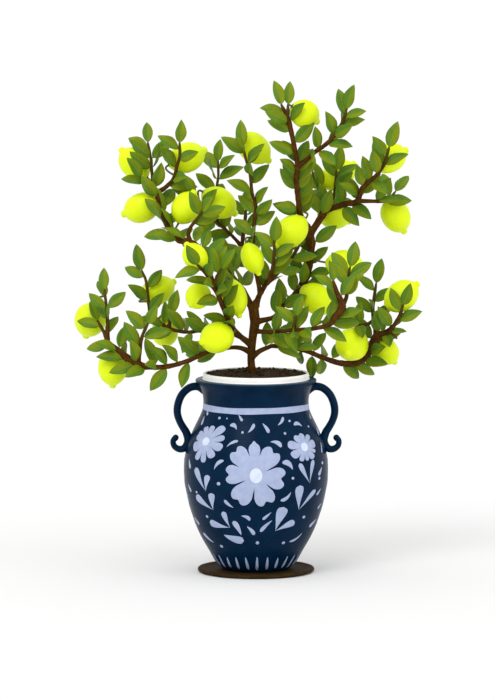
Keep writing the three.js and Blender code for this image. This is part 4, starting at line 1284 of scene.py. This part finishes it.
LEMON_STEMS = (
    "upper_left_top", "upper_left", "upper_left_fork", "upper_left", "cross", "centre_tall",
    "crown_left_shoot", "far_right", "crown_right", "crown_right", "far_right_low", "crown_left",
    "centre_tall", "front_left", "front_left", "front_left", "front_left", "back_left",
    "low_left_tall", "back_left", "low_left", "right", "right", "low_right_inner",
    "low_right_tall", "low_right",
)
LEMON_LENGTH = 70
LEMON_THICKNESS = 52
LEMON_FACETS = 0.95  # a plain solid's flat sides make it this much thinner than its round
LEMON_PROFILE = [  # (share of the half thickness, share of the length from the stalk)
    (0, 0.026), (0.08, 0.012), (0.19, 0.002), (0.28, 0.016), (0.4, 0.048), (0.62, 0.11),
    (0.84, 0.215), (0.97, 0.34), (1, 0.47), (0.96, 0.595), (0.83, 0.715), (0.63, 0.81),
    (0.43, 0.87), (0.29, 0.903), (0.235, 0.93), (0.225, 0.958), (0.17, 0.985), (0.09, 0.997),
    (0, 1),
]
CALYX_PROFILE = [(0, -0.8), (3.6, -0.8), (4.6, -0.3), (4.4, 0.2), (3, 0.7), (2, 1.3), (0, 1.6)]
CALYX_REACH = 4.6
STALK_NECK = 11  # a stalk leaves its stem where that is nearest to a spot this far behind it
STALK_BOW = 15.4  # how far behind its fruit it bows at most, and as a share of its length
STALK_BOW_SHARE = 0.7
STALK_HALF = 1.8  # half its thickness, and how much more it is at its foot and at its fruit
STALK_FOOT = 0.8
STALK_HEAD = 0.4
STALK_RINGS = 17
STALK_SIDES = 8
KNOT_STEP = 0.05


def lobed(model, swelling):
    """Swells a turned form by a share that swelling gives, from the angle and the radius."""
    for vertex in model.data.vertices:
        angle = math.atan2(vertex.co.y, vertex.co.x)
        share = 1 + swelling(angle, math.hypot(vertex.co.x, vertex.co.y) / MM)
        vertex.co.x *= share
        vertex.co.y *= share


lemon_line = smooth_line([
    (share * LEMON_THICKNESS / 2, from_stalk * LEMON_LENGTH) for share, from_stalk in LEMON_PROFILE
], 2)
lemon_line[0].x = lemon_line[-1].x = 0
lemon_model = turned("lemon_model", [tuple(point) for point in lemon_line], steps=36)
lobed(lemon_model, lambda angle, _: 0.012 * (math.cos(5 * angle) + math.cos(3 * angle + 1)))
calyx_model = turned("calyx_model", CALYX_PROFILE, steps=20)
lobed(calyx_model, lambda angle, radius: 0.26 * (radius / CALYX_REACH) ** 2 * math.cos(5 * angle))

rind, tree, shader = patchy_finish(
    "lemon_rind", 22.0, 0.3, (216, 238, 4), (232, 250, 12), Roughness=0.42, Specular_IOR_Level=0.22
)
place = add_node(tree, "TexCoord").outputs["Object"]
pits = add_node(tree, "TexVoronoi", {"Vector": place, "Scale": 520.0}, feature="SMOOTH_F1")
pitted = ramped(tree, pits.outputs["Distance"], 0.08, 0.42)
raise_surface(tree, shader, pitted, 0.35 * MM, 0.45)

green_wood, tree, shader = patchy_finish(
    "stalk_green", 220.0, 0.2, (74, 82, 28), (104, 112, 44), Roughness=0.7, Specular_IOR_Level=0.3
)
ridges = use_group(tree, grain, Scale=1400.0, Detail=2.0)
raise_surface(tree, shader, ridges["Height"], 0.3 * MM)


def lemon_axis(node):
    """(stalk end, nipple, thickness) of a lemon's plain solid, in millimetres."""
    points = [vertex.co / MM for vertex in frame["nodes"][node].data.vertices]
    middle = sum(points, Vector()) / len(points)
    one = max(points, key=lambda point: (point - middle).length)
    other = max(points, key=lambda point: (point - one).length)
    ends = sorted((one, other), key=lambda end: -min(
        (point - end).length for point in points if (point - end).length > 0.5
    ))
    pointing = (ends[1] - ends[0]).normalized()
    widest = max((point - ends[0]).cross(pointing).length for point in points)
    return ends[0], ends[1], 2 * widest / LEMON_FACETS


stalks, calyx_places = [], []
for number, stem in enumerate(LEMON_STEMS, 1):
    node = f"lemon_{number:02d}"
    stalk_end, nipple, thickness = lemon_axis(node)
    length = (nipple - stalk_end).length
    pointing = (nipple - stalk_end).normalized()
    turn = UP.rotation_difference(pointing).to_matrix().to_4x4()
    spun = Matrix.Rotation(math.tau * draw(number, 11), 4, "Z")
    wide = thickness / LEMON_THICKNESS
    sized = Matrix.Diagonal((wide, wide, length / LEMON_LENGTH, 1))
    place = Matrix.Translation(stalk_end * MM) @ turn @ spun @ sized
    lemon = set_out(lemon_model, [place])[0]
    lemon.name = lemon.data.name = f"fruit_{number:02d}"
    belongs(lemon, [rind], "lemon", node)

    limb = limbs[stem]
    neck = stalk_end - pointing * STALK_NECK
    steps = int((len(limb.spans) - 0.5) / KNOT_STEP)
    knots = [0, *(0.5 + KNOT_STEP * n for n in range(steps + 1))]
    root = min((limb.point_at(knot) for knot in knots), key=lambda point: (point - neck).length)
    reach = (root - stalk_end).length
    neck = stalk_end - pointing * min(STALK_BOW, reach * STALK_BOW_SHARE)
    bow = interpolate_bezier(root, root.lerp(neck, 0.5), neck, stalk_end, STALK_RINGS)
    shares = [n / (STALK_RINGS - 1) for n in range(STALK_RINGS)]
    halves = [
        STALK_HALF + STALK_FOOT * (1 - share) ** 2 + STALK_HEAD * share**2 for share in shares
    ]
    stations = [(point * MM, half * MM) for point, half in zip(bow, halves)]
    square = (neck - root).cross(stalk_end - neck)
    reference = square if square.length > 1 else pointing.orthogonal()
    stalks.append(rolled_tube(stations, STALK_SIDES, reference))
    backwards = UP.rotation_difference(-pointing).to_matrix().to_4x4()
    calyx_places.append(Matrix.Translation(stalk_end * MM) @ backwards @ spun)

calyces = set_out(calyx_model, calyx_places)
bpy.data.objects.remove(calyx_model)
bpy.data.objects.remove(lemon_model)
lemon_stalks = joined("lemon_stalks", stalks + calyces)
belongs(lemon_stalks, [green_wood], "bark")
